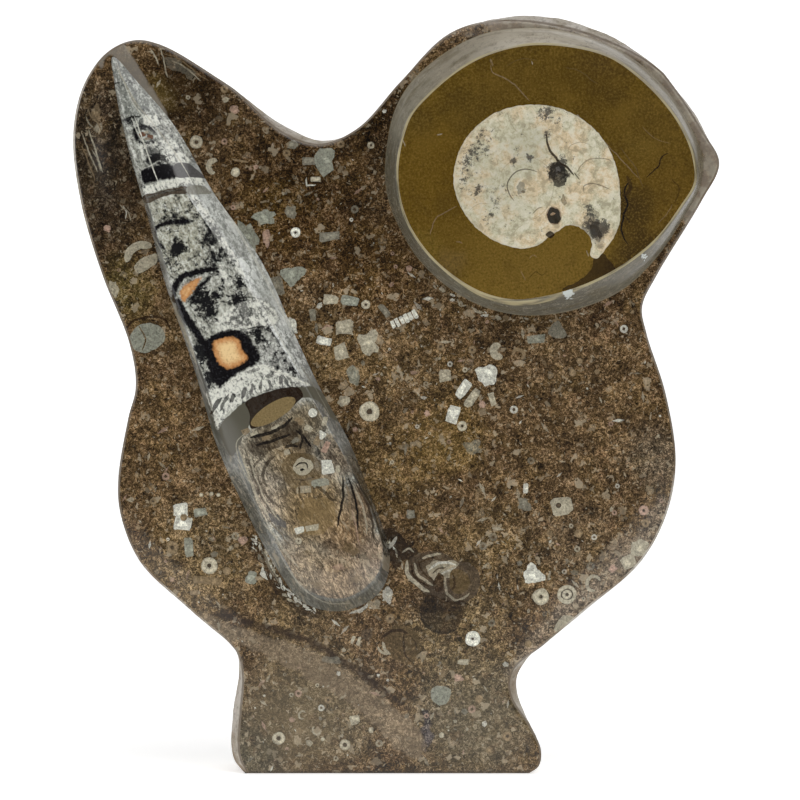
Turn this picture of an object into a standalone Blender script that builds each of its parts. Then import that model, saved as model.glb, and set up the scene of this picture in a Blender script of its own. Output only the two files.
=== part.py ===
"""Standing sculpture of polished fossil limestone: one cut slab of rock that holds a straight
orthoceras shell and a coiled goniatite in relief. Metres, +Z up, the polished face towards -Y,
the origin under the middle of the flat sawn base."""

import math

import bmesh
import bpy
from mathutils import Vector, noise
from mathutils.geometry import delaunay_2d_cdt

MM = 0.001

# Depths along Y, in millimetres: the polished face, the raised fossils and the rough back.
FACE_Y = -20.6
BACK_Y_AT_BASE = 32.2
BACK_Y_AT_TOP = 14.0
SLAB_HEIGHT = 303.0
BOSS_RISE = 11.0  # the goniatite's boss above the polished face
DISC_CROWN = 0.6  # the goniatite's slight dome
RIDGE_RISE = 8.0  # the orthoceras above the polished face
RIDGE_CROWN = 1.4
TIP_RISE = 2.0  # how far the orthoceras stands up at its pointed end
TIP_REACH = 75.0  # length over which it climbs from the tip to its full height
POCKET_DEPTH = 9.0  # how deep each fossil goes into the rock
FIT_GAP = 0.3
BOSS_RIM = 0.9  # the rock left round the goniatite on top of its boss

# Edges of the slab, in millimetres.
EDGE_ROUND = 0.8
BACK_CHAMFER = 4.0
CHAMFER_CLIMB = 25.0  # height over which the back chamfer grows from a crisp edge at the base
BELLY = 0.55  # where the rough side stands out furthest, as a share of the thickness
BASE_CRISP = 6.0  # height of the crisp corner above the sawn base
SIDE_ROUGHNESS = 0.9
BACK_ROUGHNESS = 2.2

# Sampling: curve steps between two outline points, and the spacing of the face's points.
OUTLINE_STEPS = 3
RING_STEPS = 4
FACE_SPACING = 9.0
BASE_STEPS = 12

# The slab's widest outline, x and z in millimetres, from the base's left end over the two lobes
# to its right end. The base between the ends is straight.
SLAB_OUTLINE = [
    (-61.5, 0.0), (-64.6, 4.0), (-66.2, 12.0), (-65.0, 26.0), (-63.0, 38.0), (-63.4, 46.0),
    (-66.4, 51.2), (-82.0, 65.0), (-101.8, 84.0), (-109.6, 103.0), (-110.6, 117.0),
    (-106.6, 141.5), (-103.6, 154.0), (-106.0, 171.0), (-117.0, 199.0), (-125.8, 228.0),
    (-129.0, 254.0), (-125.0, 273.5), (-115.4, 287.2), (-104.5, 292.3), (-93.4, 290.4),
    (-69.0, 276.0), (-42.2, 257.6), (-29.4, 252.8), (-15.8, 256.8), (2.2, 276.0),
    (21.0, 294.8), (43.8, 302.4), (71.8, 300.4), (97.8, 288.0), (114.6, 271.2),
    (124.4, 255.5), (129.4, 243.4), (122.0, 228.0), (104.6, 199.2), (98.4, 186.0),
    (100.2, 175.2), (107.8, 151.2), (111.8, 124.0), (108.2, 103.2), (97.8, 84.0),
    (75.8, 64.8), (55.2, 47.2), (49.0, 38.5), (49.0, 31.0), (53.5, 19.5), (58.0, 9.5),
    (57.2, 2.8), (53.5, 0.0),
]

# Where the rough side flares out past the polished face: x, z, reach and how far it flares.
FLARES = [
    (72.0, 300.0, 52.0, 3.6),
    (117.0, 263.0, 30.0, 1.6),
    (-42.0, 258.0, 28.0, 3.0),
    (-66.0, 16.0, 44.0, 3.4),
    (50.0, 36.0, 18.0, 3.0),
]

# Where the polished face falls away softly: x, z, reach, drop and the width of the slope.
SOFT_EDGES = [
    (92.0, 82.0, 62.0, 2.6, 13.0),
    (-88.0, 70.0, 44.0, 1.8, 10.0),
    (-128.0, 246.0, 46.0, 5.5, 22.0),
    (30.0, 298.0, 26.0, 1.0, 6.0),
]

# Foot and top of the boss's sloping wall, as pairs, clockwise from its left end.
BOSS_WALL = [
    ((-4.2, 238.8), (0.2, 238.8)), ((-3.2, 252.0), (1.8, 250.6)), ((-0.4, 264.0), (5.6, 261.6)),
    ((5.0, 274.0), (12.4, 269.6)), ((14.0, 283.0), (22.0, 278.0)), ((25.4, 290.6), (32.4, 284.4)),
    ((38.0, 295.6), (43.6, 288.4)), ((54.0, 297.2), (56.4, 290.2)), ((70.0, 295.4), (71.4, 289.0)),
    ((85.0, 290.4), (84.8, 285.2)), ((97.8, 282.6), (95.6, 278.0)), ((109.2, 271.2), (106.2, 267.6)),
    ((117.6, 258.0), (114.0, 256.4)), ((122.6, 245.0), (118.4, 245.0)), ((121.4, 233.8), (119.0, 234.6)),
    ((115.8, 223.2), (113.0, 224.4)), ((108.6, 211.6), (104.8, 213.4)), ((100.4, 201.4), (95.8, 205.4)),
    ((90.0, 192.4), (84.6, 198.2)), ((77.0, 186.4), (72.0, 192.6)), ((62.6, 183.0), (59.0, 189.0)),
    ((47.8, 182.8), (46.6, 187.8)), ((33.4, 186.6), (34.4, 190.6)), ((19.8, 194.6), (22.8, 197.2)),
    ((8.4, 206.0), (12.6, 206.4)), ((1.0, 218.6), (5.2, 217.2)), ((-2.8, 228.4), (1.4, 227.6)),
]

# Foot and crest of the orthoceras, as pairs, clockwise from its pointed tip: down its right side,
# round the blunt end of the living chamber and up its left side.
ORTHOCERAS_WALL = [
    ((-112.8, 285.6), (-111.9, 281.4)), ((-102.0, 274.6), (-104.8, 269.2)),
    ((-87.8, 257.6), (-95.6, 252.4)), ((-72.6, 231.6), (-83.0, 230.8)),
    ((-53.4, 204.0), (-65.4, 204.8)), ((-39.4, 173.2), (-48.4, 175.4)),
    ((-30.6, 154.6), (-35.6, 154.0)), ((-18.6, 132.4), (-24.2, 133.6)),
    ((-10.6, 112.4), (-14.4, 114.8)), ((-2.2, 86.4), (-5.0, 88.8)), ((-6.0, 72.6), (-8.8, 77.6)),
    ((-20.2, 64.8), (-20.8, 70.2)), ((-36.2, 67.8), (-35.4, 73.8)), ((-46.2, 79.8), (-43.0, 84.2)),
    ((-61.4, 108.4), (-54.8, 108.0)), ((-71.4, 131.2), (-63.0, 131.0)),
    ((-75.6, 145.2), (-71.4, 146.0)), ((-80.2, 161.2), (-77.4, 161.6)),
    ((-86.2, 178.8), (-83.6, 179.2)), ((-92.6, 198.0), (-90.2, 198.5)),
    ((-99.4, 224.0), (-97.4, 224.5)), ((-107.0, 250.8), (-105.4, 251.2)),
    ((-112.0, 274.4), (-110.8, 274.0)),
]

ROCK_BROWN = (0.115, 0.072, 0.042, 1.0)
SHELL_GREY = (0.36, 0.36, 0.33, 1.0)
MUD_OLIVE = (0.105, 0.075, 0.022, 1.0)


def curve_through(points, steps, closed):
    """Centripetal Catmull-Rom curve through 2D points, with a number of steps on each span."""
    points = [Vector(p) for p in points]
    count = len(points)
    curve = []
    for i in range(count if closed else count - 1):
        if closed:
            a, b, c, d = (points[(i + k) % count] for k in (-1, 0, 1, 2))
        else:
            b, c = points[i], points[i + 1]
            a = points[i - 1] if i else 2 * b - c
            d = points[i + 2] if i + 2 < count else 2 * c - b
        knots = [0.0]
        for p, q in ((a, b), (b, c), (c, d)):
            knots.append(knots[-1] + math.sqrt((q - p).length))
        t0, t1, t2, t3 = knots
        for step in range(steps):
            t = t1 + (t2 - t1) * step / steps
            ab = ((t1 - t) * a + (t - t0) * b) / (t1 - t0)
            bc = ((t2 - t) * b + (t - t1) * c) / (t2 - t1)
            cd = ((t3 - t) * c + (t - t2) * d) / (t3 - t2)
            abc = ((t2 - t) * ab + (t - t0) * bc) / (t2 - t0)
            bcd = ((t3 - t) * bc + (t - t1) * cd) / (t3 - t1)
            curve.append(((t2 - t) * abc + (t - t1) * bcd) / (t2 - t1))
    if not closed:
        curve.append(points[-1].copy())
    return curve


def inward_normals(ring):
    """Unit normals that point into a ring given clockwise as seen from the front."""
    normals = []
    for i in range(len(ring)):
        along = ring[(i + 1) % len(ring)] - ring[i - 1]
        normals.append(Vector((along.y, -along.x)).normalized())
    return normals


def inset(ring, distance):
    """The ring moved inwards by one distance."""
    return [p + n * distance for p, n in zip(ring, inward_normals(ring))]


def slab_inset(ring, distances):
    """A ring of the slab moved inwards by a distance at each point, sideways only at the flat base."""
    moved = []
    for p, n, distance in zip(ring, inward_normals(ring), distances):
        level = Vector((n.x, n.y * smooth_step(p.y / BASE_CRISP)))
        moved.append(p + level.normalized() * distance)
    return moved


def bump(x, z, centre_x, centre_z, reach):
    """1 at the centre, falling smoothly to 0 at the reach."""
    t = math.hypot(x - centre_x, z - centre_z) / reach
    return (1 - t * t) ** 2 if t < 1 else 0.0


def smooth_step(t):
    t = min(1.0, max(0.0, t))
    return t * t * (3 - 2 * t)


def distance_to(ring, p):
    """Distance from a point to a closed ring."""
    best = math.inf
    for i in range(len(ring)):
        a, b = ring[i - 1], ring[i]
        side = b - a
        share = min(1.0, max(0.0, (p - a).dot(side) / side.length_squared))
        best = min(best, (a + side * share - p).length)
    return best


def inside(ring, p):
    """True if the point lies in the closed ring."""
    hit = False
    for i in range(len(ring)):
        a, b = ring[i - 1], ring[i]
        if (a.y > p.y) != (b.y > p.y) and p.x < (b.x - a.x) * (p.y - a.y) / (b.y - a.y) + a.x:
            hit = not hit
    return hit


def slab_ring():
    """The slab's widest outline with the straight base, clockwise from the base's left end."""
    ring = curve_through(SLAB_OUTLINE, OUTLINE_STEPS, closed=False)
    right, left = ring[-1], ring[0]
    ring += [right.lerp(left, i / BASE_STEPS) for i in range(1, BASE_STEPS)]
    return ring


def flare_at(p):
    """How far the rough side stands out past the polished face at a point of the outline."""
    return max(amount * bump(p.x, p.y, x, z, reach) for x, z, reach, amount in FLARES)


def face_y(p, face_ring):
    """Depth of the polished face at a point, with its softly falling edges."""
    to_edge = distance_to(face_ring, p)
    fall = 0.0
    for x, z, reach, drop, width in SOFT_EDGES:
        fall += drop * bump(p.x, p.y, x, z, reach) * (1 - smooth_step(to_edge / width))
    return FACE_Y + fall


def back_y(p):
    """Depth of the rough back, which leans forwards to the top and is pitted."""
    up = p.y / SLAB_HEIGHT
    plain = BACK_Y_AT_BASE + (BACK_Y_AT_TOP - BACK_Y_AT_BASE) * up
    pits = 0.5 + 0.5 * noise.noise(Vector((p.x, 7.0, p.y)) / 34.0)
    pits += 0.3 * noise.noise(Vector((p.x, 3.0, p.y)) / 11.0)
    return plain - BACK_ROUGHNESS * max(0.0, pits) * smooth_step(p.y / 12.0)


def ridge_rise(p):
    """How far the crest of the orthoceras stands above the polished face."""
    tip = Vector(ORTHOCERAS_WALL[0][0])
    return TIP_RISE + (RIDGE_RISE - TIP_RISE) * smooth_step((p - tip).length / TIP_REACH)


def at_depth(ring, y):
    """3D points in metres from a flat ring in millimetres, at one depth or at a depth for each point."""
    depths = y if isinstance(y, list) else [y] * len(ring)
    return [Vector((p.x, depth, p.y)) * MM for p, depth in zip(ring, depths)]


def loft(bm, rings):
    """Quads between rings that have the same number of points."""
    rows = [[bm.verts.new(point) for point in ring] for ring in rings]
    for lower, upper in zip(rows, rows[1:]):
        for i in range(len(lower)):
            bm.faces.new((lower[i - 1], lower[i], upper[i], upper[i - 1]))


def grid_inside(ring, spacing, clearance):
    """Points on a staggered grid inside a ring, clear of its edge."""
    low_x, high_x = min(p.x for p in ring), max(p.x for p in ring)
    low_z, high_z = min(p.y for p in ring), max(p.y for p in ring)
    points = []
    row_height = spacing * math.sqrt(3) / 2
    for row in range(int((high_z - low_z) / row_height) + 1):
        z = low_z + row * row_height
        shift = 0.5 * spacing * (row % 2)
        for column in range(int((high_x - low_x) / spacing) + 1):
            p = Vector((low_x + shift + column * spacing, z))
            if inside(ring, p) and distance_to(ring, p) > clearance:
                points.append(p)
    return points


def fill(bm, outer, holes, loose, depth_of):
    """Triangles inside the outer ring and outside the holes, through the loose points, each lifted to its depth."""
    flat, edges = [], []
    for ring in [outer, *holes]:
        start = len(flat)
        flat += ring
        edges += [(start + i, start + (i + 1) % len(ring)) for i in range(len(ring))]
    flat += loose
    points, _, triangles, *_ = delaunay_2d_cdt(flat, edges, [], 1, 1e-7)
    verts = [bm.verts.new(Vector((p.x, depth_of(p), p.y)) * MM) for p in points]
    for triangle in triangles:
        middle = sum((points[i] for i in triangle), Vector((0, 0))) / 3
        if inside(outer, middle) and not any(inside(hole, middle) for hole in holes):
            bm.faces.new([verts[i] for i in triangle])


def finish_solid(bm, name, collection, colour, roughness):
    """Welds the patches of one solid and puts it in the scene with its material."""
    bmesh.ops.remove_doubles(bm, verts=bm.verts, dist=1e-6)
    bmesh.ops.recalc_face_normals(bm, faces=bm.faces)
    mesh = bpy.data.meshes.new(name)
    bm.to_mesh(mesh)
    bm.free()
    material = bpy.data.materials.new(name)
    material.use_nodes = True
    shader = material.node_tree.nodes["Principled BSDF"]
    shader.inputs["Base Color"].default_value = colour
    shader.inputs["Roughness"].default_value = roughness
    shader.inputs["Metallic"].default_value = 0.0
    mesh.materials.append(material)
    mesh.shade_smooth()
    mesh.set_sharp_from_angle(angle=math.radians(32))
    solid = bpy.data.objects.new(name, mesh)
    collection.objects.link(solid)
    return solid


def rough_side(ring, y, amount):
    """A side ring at a depth, broken up by the grain of the stone and straight near the base."""
    depths = []
    for p in ring:
        grain = noise.noise(Vector((p.x, y, p.y)) / 19.0) + 0.5 * noise.noise(Vector((p.x, y, p.y)) / 7.0)
        depths.append(amount * max(0.0, 0.4 + grain) * smooth_step((p.y - BASE_CRISP) / 10.0))
    return slab_inset(ring, depths)


def build_slab(collection):
    """The rock: polished face with the goniatite's boss, rough sides and back, and two pockets."""
    widest = slab_ring()
    flares = [flare_at(p) for p in widest]
    side_front = slab_inset(widest, flares)
    face_ring = slab_inset(widest, [flare + EDGE_ROUND for flare in flares])

    def on_face(p):
        return face_y(p, face_ring)

    boss_foot = curve_through([foot for foot, _ in BOSS_WALL], RING_STEPS, closed=True)
    boss_top = curve_through([top for _, top in BOSS_WALL], RING_STEPS, closed=True)
    disc_hole = inset(boss_top, BOSS_RIM - FIT_GAP)
    ridge_hole = inset(curve_through([foot for foot, _ in ORTHOCERAS_WALL], RING_STEPS, closed=True), -FIT_GAP)
    boss_y = FACE_Y - BOSS_RISE

    bm = bmesh.new()
    slope_points = []
    for depth_in in (2.5, 6.0, 11.0):
        slope_points += [p for p in inset(face_ring, depth_in)[::2] if distance_to(face_ring, p) > 0.9 * depth_in]
    loose = grid_inside(face_ring, FACE_SPACING, 12.0) + slope_points
    loose = [
        p for p in loose
        if not inside(boss_foot, p) and not inside(ridge_hole, p)
        and distance_to(boss_foot, p) > 1.5 and distance_to(ridge_hole, p) > 1.5
    ]
    fill(bm, face_ring, [boss_foot, ridge_hole], loose, on_face)

    # The boss: its wall bulges a little half-way up, then the rim and the goniatite's pocket.
    half_way = [foot.lerp(top, 0.42) for foot, top in zip(boss_foot, boss_top)]
    foot_y = [on_face(p) for p in boss_foot]
    half_y = [(y + boss_y) / 2 for y in foot_y]
    pocket_y = boss_y + POCKET_DEPTH + FIT_GAP
    loft(bm, [
        at_depth(boss_foot, foot_y),
        at_depth(half_way, half_y),
        at_depth(boss_top, boss_y),
        at_depth(disc_hole, boss_y),
        at_depth(disc_hole, pocket_y),
    ])
    fill(bm, disc_hole, [], grid_inside(disc_hole, 3 * FACE_SPACING, FACE_SPACING), lambda p: pocket_y)

    # The pocket of the orthoceras.
    floor_y = FACE_Y + POCKET_DEPTH + FIT_GAP
    loft(bm, [
        at_depth(ridge_hole, [on_face(p) for p in ridge_hole]),
        at_depth(ridge_hole, floor_y),
    ])
    fill(bm, ridge_hole, [], [], lambda p: floor_y)

    # The sides, from the polished edge to the back edge.
    edge_y = [on_face(p) for p in face_ring]
    backs = [back_y(p) for p in widest]

    def depth_at(share, offset=0.0):
        return [front + (back - front) * share + offset for front, back in zip(edge_y, backs)]

    belly = rough_side(widest, 10.0, SIDE_ROUGHNESS)
    chamfer = [BACK_CHAMFER * (0.2 + 0.8 * smooth_step(p.y / CHAMFER_CLIMB)) for p in widest]
    shoulder = rough_side(slab_inset(widest, [0.3 * c for c in chamfer]), 30.0, 2 * SIDE_ROUGHNESS)
    back_ring = slab_inset(widest, chamfer)
    between = [front.lerp(wide, 0.6) for front, wide in zip(side_front, belly)]
    loft(bm, [
        at_depth(face_ring, edge_y),
        at_depth([p.lerp(q, 0.7) for p, q in zip(face_ring, side_front)], depth_at(0, 0.3 * EDGE_ROUND)),
        at_depth(side_front, depth_at(0, EDGE_ROUND)),
        at_depth(rough_side(between, 0.0, SIDE_ROUGHNESS), depth_at(BELLY / 2)),
        at_depth(belly, depth_at(BELLY)),
        at_depth(shoulder, [back - c for back, c in zip(backs, chamfer)]),
        at_depth(back_ring, [back_y(p) for p in back_ring]),
    ])
    fill(bm, back_ring, [], grid_inside(back_ring, FACE_SPACING, 0.6 * FACE_SPACING), back_y)
    return finish_solid(bm, "limestone_slab", collection, ROCK_BROWN, 0.3)


def build_orthoceras(collection):
    """The straight shell: a tapering ridge with a narrow left flank, a wide right flank and a blunt end."""
    foot = curve_through([foot for foot, _ in ORTHOCERAS_WALL], RING_STEPS, closed=True)
    crest = curve_through([top for _, top in ORTHOCERAS_WALL], RING_STEPS, closed=True)
    widest = slab_ring()
    face_ring = slab_inset(widest, [flare_at(p) + EDGE_ROUND for p in widest])

    def crown_y(p):
        dome = 1 - (1 - min(1.0, distance_to(crest, p) / 12.0)) ** 2
        return FACE_Y - ridge_rise(p) - RIDGE_CROWN * dome

    shoulder = [low.lerp(high, 0.55) for low, high in zip(foot, crest)]
    foot_y = [face_y(p, face_ring) for p in foot]
    shoulder_y = [y + 0.68 * (crown_y(q) - y) for y, q in zip(foot_y, crest)]
    bm = bmesh.new()
    buried = inset(foot, 0.6)
    floor_y = FACE_Y + POCKET_DEPTH
    fill(bm, buried, [], [], lambda p: floor_y)
    loft(bm, [
        at_depth(buried, floor_y),
        at_depth(foot, foot_y),
        at_depth(shoulder, shoulder_y),
        at_depth(crest, [crown_y(p) for p in crest]),
    ])
    fill(bm, crest, [], grid_inside(crest, 0.8 * FACE_SPACING, 2.5), crown_y)
    return finish_solid(bm, "orthoceras", collection, SHELL_GREY, 0.2)


def build_goniatite(collection):
    """The coiled shell, cut through its middle: a low domed disc set into the top of its boss."""
    boss_top = curve_through([top for _, top in BOSS_WALL], RING_STEPS, closed=True)
    rim = inset(boss_top, BOSS_RIM)
    boss_y = FACE_Y - BOSS_RISE
    floor_y = boss_y + POCKET_DEPTH

    def dome_y(p):
        return boss_y - DISC_CROWN * (1 - (1 - min(1.0, distance_to(rim, p) / 45.0)) ** 2)

    bm = bmesh.new()
    fill(bm, rim, [], [], lambda p: floor_y)
    loft(bm, [at_depth(rim, floor_y), at_depth(rim, boss_y)])
    fill(bm, rim, [], grid_inside(rim, 1.4 * FACE_SPACING, 4.0), dome_y)
    return finish_solid(bm, "goniatite", collection, MUD_OLIVE, 0.15)


def main():
    for old in list(bpy.data.objects):
        bpy.data.objects.remove(old, do_unlink=True)
    collection = bpy.data.collections.new("orthoceras_fossil")
    bpy.context.scene.collection.children.link(collection)
    build_slab(collection)
    build_orthoceras(collection)
    build_goniatite(collection)


main()
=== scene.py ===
# A standing slab of polished fossil limestone with a straight orthoceras shell and a coiled goniatite.
# Lengths are in millimetres on the polished face: x to the right, z up, y into the stone.
import math
import random

import bpy
import numpy as np
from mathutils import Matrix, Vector, noise
from mathutils.geometry import delaunay_2d_cdt


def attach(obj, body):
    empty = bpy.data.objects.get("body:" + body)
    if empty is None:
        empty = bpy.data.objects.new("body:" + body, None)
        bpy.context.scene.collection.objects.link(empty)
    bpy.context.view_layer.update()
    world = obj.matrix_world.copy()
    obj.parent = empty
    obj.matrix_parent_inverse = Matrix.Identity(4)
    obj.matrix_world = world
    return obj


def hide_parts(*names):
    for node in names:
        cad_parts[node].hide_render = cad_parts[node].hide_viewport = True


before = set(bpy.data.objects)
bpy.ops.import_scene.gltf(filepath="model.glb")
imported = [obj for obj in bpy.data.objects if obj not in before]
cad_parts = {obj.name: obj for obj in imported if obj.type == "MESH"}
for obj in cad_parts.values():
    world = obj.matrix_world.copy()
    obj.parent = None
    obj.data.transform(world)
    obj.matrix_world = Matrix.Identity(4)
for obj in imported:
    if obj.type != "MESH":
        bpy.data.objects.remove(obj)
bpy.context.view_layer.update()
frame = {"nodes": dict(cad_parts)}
mm = 0.001
print("frame loaded:", ", ".join(frame["nodes"]))


# Small tools for curves, distances and soft blends

def smoothStep(t):
    t = np.clip(t, 0.0, 1.0)
    return t * t * (3 - 2 * t)


def curveThrough(points, step, closed=True):
    points = np.array(points, float)
    count = len(points)
    pieces = []
    for i in range(count if closed else count - 1):
        if closed:
            a, b, c, d = (points[(i + k) % count] for k in (-1, 0, 1, 2))
        else:
            b, c = points[i], points[i + 1]
            a = points[i - 1] if i else 2 * b - c
            d = points[i + 2] if i + 2 < count else 2 * c - b
        t0, t1, t2, t3 = np.cumsum([0.0] + [math.dist(p, q) ** 0.5 for p, q in ((a, b), (b, c), (c, d))])
        steps = max(2, math.ceil(math.dist(b, c) / step))
        t = (t1 + (t2 - t1) * np.arange(steps) / steps)[:, None]
        ab = ((t1 - t) * a + (t - t0) * b) / (t1 - t0)
        bc = ((t2 - t) * b + (t - t1) * c) / (t2 - t1)
        cd = ((t3 - t) * c + (t - t2) * d) / (t3 - t2)
        abc = ((t2 - t) * ab + (t - t0) * bc) / (t2 - t0)
        bcd = ((t3 - t) * bc + (t - t1) * cd) / (t3 - t1)
        pieces.append(((t2 - t) * abc + (t - t1) * bcd) / (t2 - t1))
    if not closed:
        pieces.append(points[-1:])
    return np.concatenate(pieces)


def inwardNormals(ring):
    along = np.roll(ring, -1, 0) - np.roll(ring, 1, 0)
    normals = np.stack([along[:, 1], -along[:, 0]], 1)
    return normals / np.linalg.norm(normals, axis=1)[:, None]


def insetRing(ring, distance):
    return ring + inwardNormals(ring) * distance


def edgeDistance(ring, points, closed=True):
    starts, ends = (ring, np.roll(ring, -1, 0)) if closed else (ring[:-1], ring[1:])
    side = ends - starts
    length = np.maximum((side ** 2).sum(1), 1e-12)
    best = np.empty(len(points))
    for low in range(0, len(points), 3000):
        p = points[low:low + 3000, None]
        share = np.clip(((p - starts) * side).sum(2) / length, 0, 1)
        gap = p - starts - share[..., None] * side
        best[low:low + 3000] = np.sqrt((gap ** 2).sum(2).min(1))
    return best


def insideRing(ring, points):
    a, b = ring, np.roll(ring, -1, 0)
    found = np.empty(len(points), bool)
    for low in range(0, len(points), 6000):
        x, z = points[low:low + 6000, 0, None], points[low:low + 6000, 1, None]
        crosses = (a[:, 1] > z) != (b[:, 1] > z)
        reach = (b[:, 0] - a[:, 0]) * (z - a[:, 1]) / (b[:, 1] - a[:, 1] + 1e-12) + a[:, 0]
        found[low:low + 6000] = (crosses & (x < reach)).sum(1) % 2 == 1
    return found


def depthInside(ring, points):  # positive inside the ring, negative outside
    far = edgeDistance(ring, points)
    return np.where(insideRing(ring, points), far, -far)


def bump(points, x, z, reach):
    t = np.hypot(points[:, 0] - x, points[:, 1] - z) / reach
    return np.where(t < 1, (1 - t * t) ** 2, 0.0)


def spots(points, rows):  # each row: x, z, reach, amount
    return sum(amount * bump(points, x, z, reach) for x, z, reach, amount in rows)


def tallest(points, rows):
    return np.max([amount * bump(points, x, z, reach) for x, z, reach, amount in rows], axis=0)


def glooms(points, rows, least):  # spots with sharper middles
    total = np.full(len(points), least)
    for x, z, reach, amount in rows:
        total += amount * np.clip(1 - np.hypot(points[:, 0] - x, points[:, 1] - z) / reach, 0, 1) ** 0.8
    return total


def ruggedness(points, depth, size, octaves=3):
    depths = np.broadcast_to(depth, len(points))
    return np.array([
        noise.fractal(Vector((x, y, z)) / size, 0.9, 2.0, octaves)
        for (x, z), y in zip(points, depths)
    ])


def ribbon(points, width, waver=0.35):  # a tapering stroke through some points, as a closed ring
    line = curveThrough(points, 0.8, closed=False)
    line = line + waver * np.stack([ruggedness(line, 3.0, 3.5), ruggedness(line, 9.0, 3.5)], 1)
    along = np.gradient(line, axis=0)
    across = np.stack([along[:, 1], -along[:, 0]], 1)
    across /= np.linalg.norm(across, axis=1)[:, None] + 1e-9
    share = np.linspace(0, 1, len(line))
    half = 0.5 * width * np.sqrt(np.clip(1 - (2 * share - 1) ** 4, 0.02, 1))
    return np.concatenate([line + across * half[:, None], (line - across * half[:, None])[::-1]])


def colour(red, green, blue):  # from screen values of 0 to 255
    return tuple(
        (value / 255 / 12.92) if value <= 10 else ((value / 255 + 0.055) / 1.055) ** 2.4
        for value in (red, green, blue)
    )


# The shapes that the slab and both fossils share with the solid model

slab = {
    "faceDepth": -20.6,
    "backAtBase": 32.2,
    "backAtTop": 14,
    "height": 303,
    "edgeRound": 0.8,
    "backChamfer": 4,
    "chamferClimb": 25,
    "baseCrisp": 6,
    "belly": 0.25,
    "outlineStep": 1.3,
    "outline": [
        (-61.5, 0), (-64.6, 4), (-66.2, 12), (-65, 26), (-63, 38), (-63.4, 46), (-66.4, 51.2), (-82, 65),
        (-101.8, 84), (-109.6, 103), (-110.6, 117), (-106.6, 141.5), (-103.6, 154), (-106, 171),
        (-117, 199), (-125.8, 228), (-129, 254), (-125, 273.5), (-115.4, 287.2), (-104.5, 292.3),
        (-93.4, 290.4), (-69, 276), (-42.2, 257.6), (-29.4, 252.8), (-15.8, 256.8), (2.2, 276), (21, 294.8),
        (43.8, 302.4), (71.8, 300.4), (97.8, 288), (114.6, 271.2), (124.4, 255.5), (129.4, 243.4),
        (122, 228), (104.6, 199.2), (98.4, 186), (100.2, 175.2), (107.8, 151.2), (111.8, 124),
        (108.2, 103.2), (97.8, 84), (75.8, 64.8), (55.2, 47.2), (49, 38.5), (49, 31), (53.5, 19.5),
        (58, 9.5), (57.2, 2.8), (53.5, 0),
    ],
    "flares": [  # x, z, reach, how far the rough side stands out past the polished face
        (72, 300, 52, 3.6), (117, 263, 30, 1.6), (-42, 258, 28, 3), (-66, 16, 44, 3.4), (50, 36, 18, 3),
    ],
    "softEdges": [  # x, z, reach, drop, width of the slope
        (92, 82, 62, 2.6, 13), (-88, 70, 44, 1.8, 10), (-128, 246, 46, 5.5, 22), (30, 298, 26, 1, 6),
    ],
}

boss = {
    "rise": 11,
    "rim": 0.9,
    "crown": 0.6,
    "domeWidth": 45,
    "wall": [  # foot and top, clockwise from the left end
        ((-4.2, 238.8), (0.2, 238.8)), ((-3.2, 252), (1.8, 250.6)), ((-0.4, 264), (5.6, 261.6)),
        ((5, 274), (12.4, 269.6)), ((14, 283), (22, 278)), ((25.4, 290.6), (32.4, 284.4)),
        ((38, 295.6), (43.6, 288.4)), ((54, 297.2), (56.4, 290.2)), ((70, 295.4), (71.4, 289)),
        ((85, 290.4), (84.8, 285.2)), ((97.8, 282.6), (95.6, 278)), ((109.2, 271.2), (106.2, 267.6)),
        ((117.6, 258), (114, 256.4)), ((122.6, 245), (118.4, 245)), ((121.4, 233.8), (119, 234.6)),
        ((115.8, 223.2), (113, 224.4)), ((108.6, 211.6), (104.8, 213.4)), ((100.4, 201.4), (95.8, 205.4)),
        ((90, 192.4), (84.6, 198.2)), ((77, 186.4), (72, 192.6)), ((62.6, 183), (59, 189)),
        ((47.8, 182.8), (46.6, 187.8)), ((33.4, 186.6), (34.4, 190.6)), ((19.8, 194.6), (22.8, 197.2)),
        ((8.4, 206), (12.6, 206.4)), ((1, 218.6), (5.2, 217.2)), ((-2.8, 228.4), (1.4, 227.6)),
    ],
}

shell = {
    "rise": 8,
    "crown": 1.4,
    "tipRise": 2,
    "tipReach": 75,
    "wall": [  # foot and crest, clockwise from the pointed tip
        ((-112.8, 285.6), (-111.9, 281.4)), ((-102, 274.6), (-104.8, 269.2)),
        ((-87.8, 257.6), (-95.6, 252.4)), ((-72.6, 231.6), (-83, 230.8)), ((-53.4, 204), (-65.4, 204.8)),
        ((-39.4, 173.2), (-48.4, 175.4)), ((-30.6, 154.6), (-35.6, 154)), ((-18.6, 132.4), (-24.2, 133.6)),
        ((-10.6, 112.4), (-14.4, 114.8)), ((-2.2, 86.4), (-5, 88.8)), ((-6, 72.6), (-8.8, 77.6)),
        ((-20.2, 64.8), (-20.8, 70.2)), ((-36.2, 67.8), (-35.4, 73.8)), ((-46.2, 79.8), (-43, 84.2)),
        ((-61.4, 108.4), (-54.8, 108)), ((-71.4, 131.2), (-63, 131)), ((-75.6, 145.2), (-71.4, 146)),
        ((-80.2, 161.2), (-77.4, 161.6)), ((-86.2, 178.8), (-83.6, 179.2)), ((-92.6, 198), (-90.2, 198.5)),
        ((-99.4, 224), (-97.4, 224.5)), ((-107, 250.8), (-105.4, 251.2)), ((-112, 274.4), (-110.8, 274)),
    ],
}


def slabRing():
    side = curveThrough(slab["outline"], slab["outlineStep"], closed=False)
    left, right = side[0], side[-1]
    steps = round(math.dist(left, right) / slab["outlineStep"])
    floor = [right + (left - right) * i / steps for i in range(1, steps)]
    return np.concatenate([side, floor])


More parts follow.
